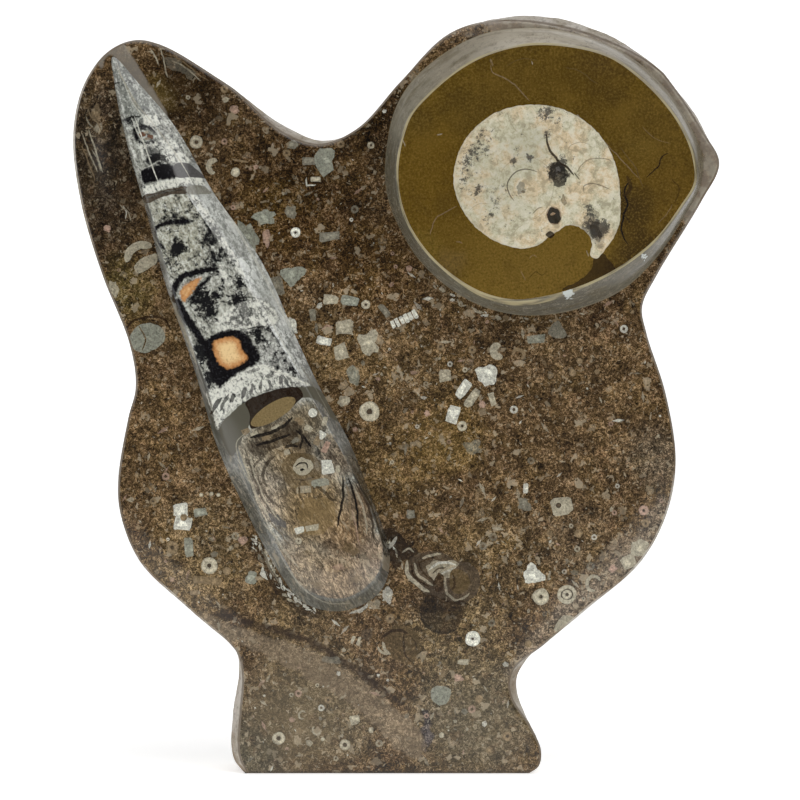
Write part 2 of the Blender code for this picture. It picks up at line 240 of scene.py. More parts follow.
def slabInset(ring, distances):
    normals = inwardNormals(ring)
    normals[:, 1] *= smoothStep(ring[:, 1] / slab["baseCrisp"])
    normals /= np.linalg.norm(normals, axis=1)[:, None] + 1e-9
    return ring + normals * np.broadcast_to(distances, len(ring))[:, None]


def faceDepth(points):  # the polished face, which falls softly at some edges and rolls over at its arris
    toEdge = edgeDistance(faceRing, points)
    depth = np.full(len(points), slab["faceDepth"])
    for x, z, reach, drop, width in slab["softEdges"]:
        depth += drop * bump(points, x, z, reach) * (1 - smoothStep(toEdge / width))
    return depth + 0.3 * np.clip(1 - toEdge / 1.2, 0, 1) ** 2


def backDepth(points):
    up = points[:, 1] / slab["height"]
    plain = slab["backAtBase"] + (slab["backAtTop"] - slab["backAtBase"]) * up
    pits = np.array([
        0.5 + 0.5 * noise.noise(Vector((x, 7, z)) / 34) + 0.3 * noise.noise(Vector((x, 3, z)) / 11)
        for x, z in points
    ])
    scoops = np.array([noise.voronoi(Vector((x, 1.3 * z, 0)) / 15)[0][0] for x, z in points])
    fine = np.abs(ruggedness(points, 40, 5))
    carved = 2.2 * np.maximum(0, pits) + 0.9 * np.clip(scoops, 0, 1) + 0.35 * fine
    return plain - carved * smoothStep(points[:, 1] / 12)


outerRing = slabRing()
flares = tallest(outerRing, slab["flares"])
sideFront = slabInset(outerRing, flares)
faceRing = slabInset(outerRing, flares + slab["edgeRound"])
bossFoot, bossTop = np.split(curveThrough(np.reshape(boss["wall"], (-1, 4)), 1.4), 2, axis=1)
shellFoot, shellCrest = np.split(curveThrough(np.reshape(shell["wall"], (-1, 4)), 1.2), 2, axis=1)
discRim = insetRing(bossTop, boss["rim"])
bossDepth = slab["faceDepth"] - boss["rise"]
print("outlines drawn:", len(outerRing), "points round the slab")


# Mesh builders

def makeObject(name, corners, faces, smooth=True):
    mesh = bpy.data.meshes.new(name)
    mesh.from_pydata((np.asarray(corners) * mm).tolist(), [], faces)
    if smooth:
        mesh.shade_smooth()
    made = bpy.data.objects.new(name, mesh)
    bpy.context.collection.objects.link(made)
    return made


def pointValues(piece, name, values):
    values = np.asarray(values, float)
    if values.ndim == 1:
        layer = piece.data.attributes.new(name, "FLOAT", "POINT")
        layer.data.foreach_set("value", values.astype(np.float32))
    else:
        full = np.concatenate([values, np.ones((len(values), 1))], 1)
        layer = piece.data.attributes.new(name, "FLOAT_COLOR", "POINT")
        layer.data.foreach_set("color", full.astype(np.float32).ravel())


def flatPlaces(piece):  # x and z of every corner, in millimetres
    places = np.empty(len(piece.data.vertices) * 3, np.float32)
    piece.data.vertices.foreach_get("co", places)
    return places.reshape(-1, 3)[:, [0, 2]].astype(float) / mm


def loftSheet(name, rings, outward=True):
    count = len(rings[0])
    faces = []
    for row in range(len(rings) - 1):
        for i in range(count):
            a, b = row * count + i, row * count + (i + 1) % count
            quad = (a, b, b + count, a + count)
            faces.append(quad if outward else quad[::-1])
    return makeObject(name, np.concatenate(rings), faces)


def withDepth(ring, depth):
    return np.stack([ring[:, 0], np.broadcast_to(depth, len(ring)), ring[:, 1]], 1)


def staggeredGrid(ring, spacing, clearance):
    low, high = ring.min(0), ring.max(0)
    rows = np.arange(low[1], high[1], spacing * math.sqrt(3) / 2)
    columns = np.arange(low[0], high[0], spacing)
    points = np.array([(x + 0.5 * spacing * (i % 2), z) for i, z in enumerate(rows) for x in columns])
    points = points[insideRing(ring, points)]
    return points[edgeDistance(ring, points) > clearance]


def inlaidSheet(name, outer, holes, ridges, inlays, loose, depthOf, flip=False):
    # Every inlay's outline is cut into the sheet, so that its colour ends on a crisp flush line.
    flat, edges, rimDepth = [], [], []
    for ring in [outer, *holes, *ridges, *(inlay["ring"] for inlay in inlays)]:
        start, count = len(flat), len(ring)
        flat.extend(ring)
        edges.extend((start + i, start + (i + 1) % count) for i in range(count))
        rimDepth.extend([0] * count)
    for inlay in inlays:
        for x, z, depth in inlay.get("core", ()):
            flat.append((x, z))
            rimDepth.append(depth)
    flat.extend(loose)
    rimDepth.extend([0] * len(loose))
    found, _, triangles, origins, *_ = delaunay_2d_cdt([Vector(p) for p in flat], edges, [], 1, 1e-5)
    places = np.array([(p.x, p.y) for p in found])
    triangles = np.array(triangles)
    middles = places[triangles].mean(1)
    kept = insideRing(outer, middles)
    for hole in holes:
        kept &= ~insideRing(hole, middles)
    triangles, middles = triangles[kept], middles[kept]
    used, triangles = np.unique(triangles, return_inverse=True)
    triangles = triangles.reshape(-1, 3)
    tones = np.zeros((len(triangles), 4))
    frost = np.zeros(len(triangles))
    for inlay in inlays:
        low, high = inlay["ring"].min(0), inlay["ring"].max(0)
        near = np.flatnonzero(((middles > low) & (middles < high)).all(1))
        near = near[insideRing(inlay["ring"], middles[near])]
        tones[near] = (*inlay["tone"], inlay.get("cover", 1))
        frost[near] = inlay.get("frost", 0)
    if flip:
        triangles = triangles[:, ::-1]
    places = places[used]
    made = makeObject(name, withDepth(places, depthOf(places)), triangles.tolist())
    layer = made.data.attributes.new("inlay", "FLOAT_COLOR", "FACE")
    layer.data.foreach_set("color", tones.astype(np.float32).ravel())
    layer = made.data.attributes.new("inlayFrost", "FLOAT", "FACE")
    layer.data.foreach_set("value", frost.astype(np.float32))
    pointValues(made, "rim", [rimDepth[origins[i][0]] if origins[i] else 0 for i in used])
    return made


def paintStains(points, base, stains, warp=6):
    # Soft patches of colour. Each has x and z, a reach, a colour and perhaps a strength.
    shifts = np.stack([ruggedness(points, 3 + 30 * k, 22) for k in (0, 1)], 1)
    moved = points + warp * shifts
    total = np.full(len(points), 0.25)
    mixed = total[:, None] * np.array(colour(*base))
    for stain in stains:
        x, z, reach, tone, strength = (*stain, 1)[:5]
        weight = strength * np.clip(1 - np.hypot(moved[:, 0] - x, moved[:, 1] - z) / reach, 0, 1) ** 1.5
        total += weight
        mixed += weight[:, None] * np.array(colour(*tone))
    return mixed / total[:, None]


# Outlines of the small fossils that lie in the rock

tones = {
    "bone": (194, 186, 162),
    "bright": (232, 231, 216),
    "glass": (160, 162, 146),
    "grey": (140, 136, 120),
    "blush": (188, 158, 138),
    "tan": (150, 130, 100),
    "brown": (106, 88, 58),
    "dusk": (86, 74, 60),
    "umber": (44, 30, 18),
    "ink": (20, 16, 15),
    "rust": (112, 66, 36),
    "silt": (150, 126, 84),
    "slate": (92, 90, 88),
    "gold": (146, 126, 86),
}


def inlay(ring, tone, cover=1, core=(), frost=0):  # core: places inside it, with their depth from the rim
    return {
        "ring": np.asarray(ring, float), "tone": colour(*tones[tone]), "cover": cover,
        "core": core, "frost": frost,
    }


def roundRing(x, z, width, height, angle=0, count=16, lumps=0, seed=0):
    turn = np.linspace(0, 2 * math.pi, count, endpoint=False)[::-1]
    c, s = 1.4 * np.cos(turn), 1.4 * np.sin(turn)
    swell = np.array([1 + lumps * noise.noise(Vector((a, b, seed))) for a, b in zip(c, s)])
    return turned(0.5 * width * swell * np.cos(turn), 0.5 * height * swell * np.sin(turn), angle) + (x, z)


def blockRing(x, z, width, height, angle):
    turn = np.linspace(0, 2 * math.pi, 16, endpoint=False)[::-1] + math.pi / 16
    c, s = np.cos(turn), np.sin(turn)
    worn = 0.22 * min(width, height) * np.array([
        (noise.noise(Vector((a, b, x))), noise.noise(Vector((b, x, a)))) for a, b in zip(1.2 * c, 1.2 * s)
    ])
    squareness = 0.315
    across = 0.5 * width * np.sign(c) * np.abs(c) ** squareness + worn[:, 0]
    upward = 0.5 * height * np.sign(s) * np.abs(s) ** squareness + worn[:, 1]
    return turned(across, upward, angle) + (x, z)


def turned(across, upward, angle):
    c, s = math.cos(math.radians(angle)), math.sin(math.radians(angle))
    return np.stack([across, upward], 1) @ np.array([[c, s], [-s, c]])


def ossicle(x, z, radius, tone="bone", cover=1, canal=0.3):  # a crinoid disc with the hole of its canal
    outer = roundRing(x, z, 2 * radius, 2 * radius, count=20, lumps=0.1, seed=x)
    if not canal:
        return [inlay(outer, tone, cover, [(x, z, radius)])]
    middle = 0.5 * radius * (1 + canal)
    core = [
        (x + middle * math.cos(t), z + middle * math.sin(t), 0.5 * radius * (1 - canal))
        for t in np.linspace(0, 2 * math.pi, 10, endpoint=False)
    ]
    hole = roundRing(x, z, 2 * radius * canal, 2 * radius * canal, count=9, lumps=0.3, seed=z)
    return [inlay(outer, tone, cover, core), inlay(hole, "dusk", cover)]


def plate(x, z, width, height, angle=0, tone="bone", cover=1):  # a crinoid stem piece, cut lengthwise
    c, s = math.cos(math.radians(angle)), math.sin(math.radians(angle))
    reach = 0.25 * (width - height)
    core = [(x + k * reach * c, z + k * reach * s, 0.45 * min(width, height)) for k in (-1, 1)]
    return [inlay(blockRing(x, z, width, height, angle), tone, cover, core)]


def ringedStem(x, z, width, height, angle, links, tone="bright"):
    c, s = math.cos(math.radians(angle)), math.sin(math.radians(angle))
    pitch = width / links
    made = []
    for i in range(links):
        along = (i + 0.5 - links / 2) * pitch
        wide = height * (0.9 + 0.15 * (i % 2))
        made += plate(x + along * c, z + along * s, 0.86 * pitch, wide, angle, tone)
    return made


def crescent(x, z, radius, thickness, start, end, tone="bone", cover=1):
    turns = np.radians(np.linspace(start, end, 9))
    arc = [(x + radius * math.cos(t), z + radius * math.sin(t)) for t in turns]
    return [inlay(ribbon(arc, thickness), tone, cover)]


def lump(x, z, width, height, angle=0, tone="bone", cover=1):
    ring = roundRing(x, z, width, height, angle, 18, 0.7, x + z)
    return [inlay(ring, tone, cover, [(x, z, 0.4 * min(width, height))])]


def plug(x, z, width, height, angle, tone):  # a smooth cast
    return [inlay(roundRing(x, z, width, height, angle, 28, 0.05), tone, frost=-0.2)]


def stroke(points, width, tone, cover=1, waver=0.35):
    return [inlay(ribbon(points, width, waver), tone, cover)]


def patch(points, tone, cover=1, ragged=0.4, frost=0):
    ring = curveThrough(points, 1)
    ring = ring + ragged * np.stack([ruggedness(ring, 9, 2.5), ruggedness(ring, 19, 2.5)], 1)
    return [inlay(ring, tone, cover, frost=frost)]


def crust(points, count, longest, choice, seed):  # small broken crystals strung along a line
    draw = random.Random(seed)
    line = curveThrough(points, 0.5, closed=False)
    made = []
    for i in range(count):
        at = (i + draw.random()) / count * (len(line) - 2)
        x, z = line[int(at)] + (draw.uniform(-0.7, 0.7), draw.uniform(-0.7, 0.7))
        dx, dz = line[int(at) + 1] - line[int(at)]
        turn = math.degrees(math.atan2(dz, dx)) + draw.uniform(-35, 35)
        wide = longest * draw.uniform(0.35, 1)
        tone = choice[int(len(choice) * draw.random())]
        ring = roundRing(x, z, wide, wide * draw.uniform(0.25, 0.5), turn, 6, 0.8, x)
        made += [inlay(ring, tone, draw.uniform(0.7, 1))]
    return made


def laid(rows):  # the inlays of a table, in its order
    return [made for kind, *values in rows for made in kind(*values)]


def threads(lines, waver):
    return [made for line in lines for made in stroke(*line, waver)]


# Shader building

bench = {}  # holds the node tree that is being filled


def join(value, socket):  # a link, or a fixed value
    if isinstance(value, bpy.types.NodeSocket):
        bench["tree"].links.new(value, socket)
    else:
        socket.default_value = value


def put(kind, inputs=(), **settings):
    node = bench["tree"].nodes.new("ShaderNode" + kind)
    for name, value in settings.items():
        setattr(node, name, value)
    for key, value in dict(inputs).items():
        join(value, node.inputs[key])
    return node


def calc(operation, *values, clamp=False):
    return put("Math", enumerate(values), operation=operation, use_clamp=clamp).outputs[0]


def times(a, b, clamp=False):
    return calc("MULTIPLY", a, b, clamp=clamp)


def plus(a, b, clamp=False):
    return calc("ADD", a, b, clamp=clamp)


def minus(a, b, clamp=False):
    return calc("SUBTRACT", a, b, clamp=clamp)


def timesPlus(a, b, c):
    return calc("MULTIPLY_ADD", a, b, c)


def sized(vector, amount):
    return put("VectorMath", {0: vector, "Scale": amount}, operation="SCALE").outputs[0]


def shifted(vector, push, operation="ADD"):
    return put("VectorMath", {0: vector, 1: push}, operation=operation).outputs[0]


def blend(share, under, over):  # colours are sockets, screen values of 0 to 255, or linear with alpha
    under, over = (
        (*colour(*end), 1) if isinstance(end, tuple) and len(end) == 3 else end for end in (under, over)
    )
    values = {0: share, 6: under, 7: over}
    return put("Mix", values, data_type="RGBA", blend_type="MIX", clamp_factor=True).outputs[2]


def veil(under, mask, share, over):  # a thin coat of the upper colour where the mask is high
    return blend(times(mask, share), under, over)


def fade(value, low, high):  # 0 below the low value, 1 above the high one
    spans = {"Value": value, "From Min": low, "From Max": high}
    return put("MapRange", spans, interpolation_type="SMOOTHSTEP").outputs[0]


def grain(vector, size, detail=2, offset=0, roughness=0.55, kind="Fac"):
    moved = shifted(vector, (offset, 2 * offset, 3 * offset))
    values = {"Vector": moved, "Scale": 1 / size, "Detail": detail, "Roughness": roughness}
    return put("TexNoise", values).outputs[kind]


def cells(vector, size, feature="F1"):
    return put("TexVoronoi", {"Vector": vector, "Scale": 1 / size}, feature=feature)


def channels(node):
    return put("SeparateColor", {0: node.outputs["Color"]}).outputs


def warped(vector, size, amount):  # the place, pushed about by a soft noise
    push = shifted(grain(vector, size, 2, 5, kind="Color"), (0.5, 0.5, 0.5), "SUBTRACT")
    return shifted(vector, sized(push, amount))


def attribute(name, output="Fac"):
    return put("Attribute", attribute_name=name).outputs[output]


def newGroup(name, inputs, outputs):
    tree = bench["tree"] = bpy.data.node_groups.new(name, "ShaderNodeTree")
    for title, value in inputs.items():
        kind = "NodeSocketVector" if value is None else "NodeSocketFloat"
        socket = tree.interface.new_socket(title, in_out="INPUT", socket_type=kind)
        if value is not None:
            socket.default_value = value
    for title in outputs:
        tree.interface.new_socket(title, in_out="OUTPUT", socket_type="NodeSocketFloat")
    return tree.nodes.new("NodeGroupInput").outputs, tree.nodes.new("NodeGroupOutput").inputs


def closeGroup(outs, **values):
    for title, value in values.items():
        join(value, outs[title])
    return bench["tree"]


def useGroup(group, **values):
    return put("Group", values, node_tree=group).outputs


def makeCrinoidGrit():
    # Shell hash: angular grains in a fine matrix, scattered chips, dark voids and hairlines.
    ins, outs = newGroup(
        "crinoidGrit", {"Vector": None, "Grain": 0.9, "Chips": 0.5}, ("Shade", "Pale", "Dark", "Height"),
    )
    place = ins["Vector"]
    bent = warped(place, 2.6, 4.5)
    size = calc("DIVIDE", 1, ins["Grain"])
    grains = put("TexVoronoi", {"Vector": bent, "Scale": size})
    specks = put("TexVoronoi", {"Vector": bent, "Scale": times(size, 2.1)})
    toned = channels(grains)
    small = channels(specks)
    fine = grain(place, 1.1, 4, 11, 0.7)
    broad = grain(place, 7, 4, 23, 0.6)
    shade = times(toned[0], 0.38)
    shade = timesPlus(small[1], 0.52, shade)
    shade = timesPlus(fine, 0.9, shade)
    shade = timesPlus(broad, 0.9, shade)
    shade = timesPlus(grain(bent, 2.2, 3, 43, 0.6), 0.6, shade)
    shade = minus(shade, 1.15)

    pale = 0
    for spread, share, offset in ((1, 0.1, 0), (1.9, 0.085, 7), (3.4, 0.05, 13)):
        moved = shifted(bent, (offset, offset, offset))
        chips = cells(moved, spread)
        border = cells(moved, spread, "DISTANCE_TO_EDGE").outputs["Distance"]
        picked = channels(chips)
        least = minus(1, times(ins["Chips"], share))
        chosen = calc("GREATER_THAN", picked[1], least)
        strength = timesPlus(picked[2], 0.7, 0.2)
        solid = times(fade(border, 0.03, 0.12), chosen)
        pale = calc("MAXIMUM", pale, times(solid, strength))
    blots = fade(grain(place, 3.2, 6, 31, 0.72), 0.565, 0.625)
    voids = cells(bent, 1.7)
    pits = calc("GREATER_THAN", channels(voids)[2], 0.9)
    pits = times(pits, fade(voids.outputs["Distance"], 0.45, 0.2))
    wisp = calc("ABSOLUTE", minus(grain(place, 5, 3, 37, 0.65), 0.5))
    wisp = times(fade(wisp, 0.014, 0.003), fade(broad, 0.45, 0.6))
    dark = calc("MAXIMUM", times(blots, 0.45), times(pits, 0.6))
    dark = calc("MAXIMUM", dark, times(wisp, 0.6))
    dark = times(dark, minus(1, pale))
    height = timesPlus(toned[1], 0.4, times(fine, 0.8))
    return closeGroup(outs, Shade=shade, Pale=pale, Dark=dark, Height=height)


def makeCalciteFrost():
    # Crystalline calcite: cloudy, with dark fern-like growths that spread as the gloom rises.
    ins, outs = newGroup(
        "calciteFrost", {"Vector": None, "Size": 3, "Gloom": 0.4}, ("Dark", "Cloud", "Sparkle"),
    )
    inverse = calc("DIVIDE", 1, ins["Size"])
    scaled = sized(ins["Vector"], inverse)
    bent = warped(scaled, 0.6, 0.9)
    fern = grain(bent, 0.8, 7, 3, 0.78)
    knot = grain(bent, 2.4, 3, 9, 0.6)
    growth = plus(times(fern, 0.65), times(knot, 0.35))
    level = minus(0.66, times(ins["Gloom"], 0.32))
    dark = fade(growth, minus(level, 0.03), plus(level, 0.04))
    cloud = grain(bent, 0.42, 5, 15, 0.75)
    flakes = cells(bent, 0.26)
    sparkle = fade(channels(flakes)[0], 0.8, 0.92)
    return closeGroup(outs, Dark=dark, Cloud=cloud, Sparkle=sparkle)


def makePolish():
    # How evenly a cut face was polished: faint rubbing marks and soft dull patches.
    ins, outs = newGroup(
        "polish", {"Vector": None, "Gloss": 0.24, "Wear": 0.1}, ("Roughness", "Height"),
    )
    patches = grain(ins["Vector"], 19, 2, 2)
    rubbed = put("Mapping", {"Vector": ins["Vector"], "Rotation": (0, 0.6, 0), "Scale": (2.2, 1, 0.12)})
    marks = grain(rubbed.outputs[0], 1, 2, 7)
    dull = plus(times(patches, 0.7), times(marks, 0.5))
    roughness = timesPlus(minus(dull, 0.6), ins["Wear"], ins["Gloss"])
    height = grain(ins["Vector"], 3.5, 2, 29)
    return closeGroup(outs, Roughness=roughness, Height=height)


def makeToolMarks():
    # Sawn and chiselled stone: slanting strokes, crumbs and pale dust.
    ins, outs = newGroup(
        "toolMarks", {"Vector": None, "Spacing": 2.2}, ("Marks", "Crumbs", "Dust", "Height"),
    )
    inverse = calc("DIVIDE", 1, ins["Spacing"])
    scaled = sized(ins["Vector"], inverse)
    bends = put("Mapping", {"Vector": scaled, "Rotation": (0.5, 0.35, 0.2), "Scale": (0.12, 1, 0.5)})
    marks = grain(bends.outputs[0], 1, 4, 2, 0.65)
    crumbs = grain(scaled, 0.8, 6, 8, 0.75)
    dust = fade(grain(scaled, 6, 4, 14, 0.6), 0.42, 0.62)
    height = plus(times(marks, 0.6), crumbs)
    return closeGroup(outs, Marks=marks, Crumbs=crumbs, Dust=dust, Height=height)


crinoidGrit, calciteFrost, polish, toolMarks = (
    makeCrinoidGrit(), makeCalciteFrost(), makePolish(), makeToolMarks(),
)


def startMaterial(name, specular=0.5, coat=0):
    material = bpy.data.materials.new(name)
    material.use_nodes = True
    tree = bench["tree"] = material.node_tree
    shader = tree.nodes["Principled BSDF"]
    shader.inputs["Specular IOR Level"].default_value = specular
    shader.inputs["Coat Weight"].default_value = coat
    shader.inputs["Coat Roughness"].default_value = 0.08
    objectPlace = tree.nodes.new("ShaderNodeTexCoord").outputs["Object"]
    return material, shader, sized(objectPlace, 1 / mm)


def wire(shader, tint, roughness, height, bumpHeight):
    values = {"Height": height, "Strength": 1, "Distance": bumpHeight * mm}
    join(tint, shader.inputs["Base Color"])
    join(roughness, shader.inputs["Roughness"])
    join(put("Bump", values).outputs[0], shader.inputs["Normal"])


def grittyColour(ground, grit, contrast, voids=1, paleGrit=(164, 150, 130)):
    # The grains brighten and darken the ground, then chips and voids go on top.
    gain = calc("POWER", 2, times(minus(grit["Shade"], 0.56), contrast))
    tint = sized(ground, gain)
    tint = veil(tint, fade(grit["Shade"], 0.64, 1.15), 0.66, paleGrit)
    tint = veil(tint, grit["Pale"], 0.75, (178, 164, 138))
    return veil(tint, grit["Dark"], voids, (20, 13, 8))


def inlaidColour(tint, place, bleed=0):
    # The imprinted fossils: cloudy, lighter inside than at their rims, with some ground showing through.
    tone = put("Attribute", attribute_name="inlay").outputs
    cloud = grain(place, 0.75, 4, 15, 0.72)
    frost = attribute("inlayFrost")
    lively = plus(1, frost, clamp=True)
    body = timesPlus(fade(attribute("rim"), 0, 0.9), 0.34, 0.74)
    shadow = times(fade(cloud, 0.5, 0.34), times(lively, -0.45))
    light = times(fade(cloud, 0.5, 0.66), times(lively, 0.45))
    gain = times(body, plus(1, plus(shadow, light)))
    fossil = sized(tone["Color"], gain)
    level = minus(0.7, times(frost, 0.24))
    stain = fade(cloud, level, plus(level, 0.04))
    fossil = veil(fossil, stain, 0.8, (34, 30, 28))
    cover = times(tone["Alpha"], minus(1, bleed) if bleed else 1)
    return blend(cover, tint, fossil)


# The polished face and what lies in it

face = {
    "gridSpacing": 2.7,
    "ground": (92, 72, 46),
    "stains": [
        (-118.2, 248.8, 32, (42, 34, 24), 2.6), (-114.2, 218.8, 20, (46, 36, 24)),
        (-82.2, 272.8, 24, (52, 35, 10), 1.6), (-93, 268.8, 9.6, (112, 94, 48), 3),
        (-38.2, 228.8, 38, (64, 42, 10), 1.6), (-6.2, 260.8, 24, (56, 38, 10), 1.6),
        (-50.2, 228.8, 15.2, (80, 60, 14), 1.4), (-108.2, 194.8, 15.2, (92, 80, 42), 1.5),
        (-90.2, 180.8, 18, (88, 70, 44)), (-10.2, 204.8, 24, (72, 50, 18)),
        (17.8, 132.8, 20, (112, 90, 48), 1.6), (1.8, 156.8, 24, (104, 84, 54)),
        (-26.2, 168.8, 20, (108, 88, 56)), (-2.2, 120.8, 24, (102, 82, 48)),
        (85.8, 128.8, 36, (96, 76, 50), 1.3), (65.8, 168.8, 24, (90, 72, 48)),
        (81.8, 184.8, 18, (80, 60, 38)), (33.8, 84.8, 28, (100, 82, 52)),
        (25.8, 52.8, 28, (108, 92, 62), 1.3), (73.8, 84.8, 28, (104, 86, 62)),
        (-94.2, 132.8, 28, (106, 84, 54), 1.3), (-78.2, 84.8, 26, (112, 94, 64), 1.3),
        (-38.2, 58.8, 22, (108, 90, 60)), (-34.2, 26.8, 30, (116, 102, 76), 2.4),
        (31.8, 22.8, 30, (106, 96, 74), 2), (-58.2, 6.8, 20, (92, 86, 68), 1.6),
        (17.8, 68.8, 12, (58, 42, 26), 2), (103.8, 126.8, 16, (108, 98, 82)),
        (97.8, 84.8, 16, (124, 110, 92), 1.3), (77.8, 58.8, 16, (124, 110, 92), 1.3),
        (-18.2, 96.8, 10, (74, 58, 42)),
    ],
    "calm": [
        (-42.2, 18.8, 42, 0.66), (33.8, 18.8, 34, 0.5), (-93, 268.8, 14.4, 0.5), (17.8, 132.8, 16, 0.3),
        (-78.2, 274.8, 24, 0.3), (-116.2, 236.8, 28, 0.3), (97.8, 84.8, 20, 0.3),
    ],
    "dim": [
        (-120.2, 228.8, 42, 0.34), (-82.2, 268.8, 30, 0.36), (-44.2, 242.8, 32, 0.3),
        (-24.2, 232.8, 28, 0.22), (-4.2, 256.8, 24, 0.36), (-9.4, 212.8, 20, 0.2),
    ],
    "gloss": 0.17,
    "bump": 0.03,
}

seams = {  # soft-edged forms in the rock
    "lens": [[(-78.2, 64), (-68.2, 60.4), (-56.2, 56), (-42.2, 52), (-30.2, 46.8), (-18.2, 40),
        (-6.2, 31.2), (5, 21.6), (11.4, 12.8), (10.6, 5.6), (1, 9.6), (-9.4, 20), (-21.4, 30),
        (-34.2, 37.6), (-46.2, 44), (-58.2, 50), (-68.2, 52.8), (-76.2, 59.2)]],
    "seam": [ribbon([(-79.8, 67.6), (-75.8, 64.4), (-65.8, 62.4), (-56.2, 59.6), (-45.4, 56.4),
        (-33.4, 52.4), (-24.2, 46.4), (-15, 40.4), (-2.6, 31.6), (8.2, 23.2)], 6)],
    "tip": [[(-118.2, 289.6), (-115, 292.8), (-110.2, 292.8), (-105.4, 286.4), (-99.8, 277.6),
        (-94.2, 268.8), (-90.2, 261.6), (-95, 264), (-102.2, 272.8), (-108.6, 281.6), (-113.4, 286.4),
        (-115.8, 284.8), (-116.6, 280), (-118.6, 282.4)]],
    "vein": [[(11.8, 26.4), (14.2, 20), (13.8, 8.8), (9.8, 4.8), (11.4, 12.8), (10.6, 19.2)]],
    "rimBand": [[(35.4, 302.4), (49.8, 307.2), (65.8, 306.4), (84.2, 301.6), (101.8, 292), (115.4, 279.2),
        (125.8, 264.8), (133, 248.8), (131.4, 239.2), (125, 228), (117.8, 218.4), (114.6, 222.4),
        (121, 232.8), (122.6, 244), (117.8, 257.6), (109, 269.6), (97.8, 282.4), (84.2, 290.4),
        (70.6, 295.2), (54.6, 296.8), (39.4, 294.4)]],
    "edgeBand": [[(109, 108.8), (101.8, 90.8), (89.8, 78.8), (73.8, 64.8), (59.8, 52.8), (49.8, 41.6),
        (46.6, 36.8), (43.8, 38.4), (49.8, 50.8), (62.6, 64), (77.8, 76.8), (90.6, 88), (100.2, 100.8),
        (105.8, 112)]],
}


def fieldOf(points, shapes, limit):  # signed depth inside the nearest of several outlines
    rings = [curveThrough(shape, 1) if isinstance(shape, list) else shape for shape in shapes]
    return np.clip(np.max([depthInside(ring, points) for ring in rings], axis=0), -limit, limit)


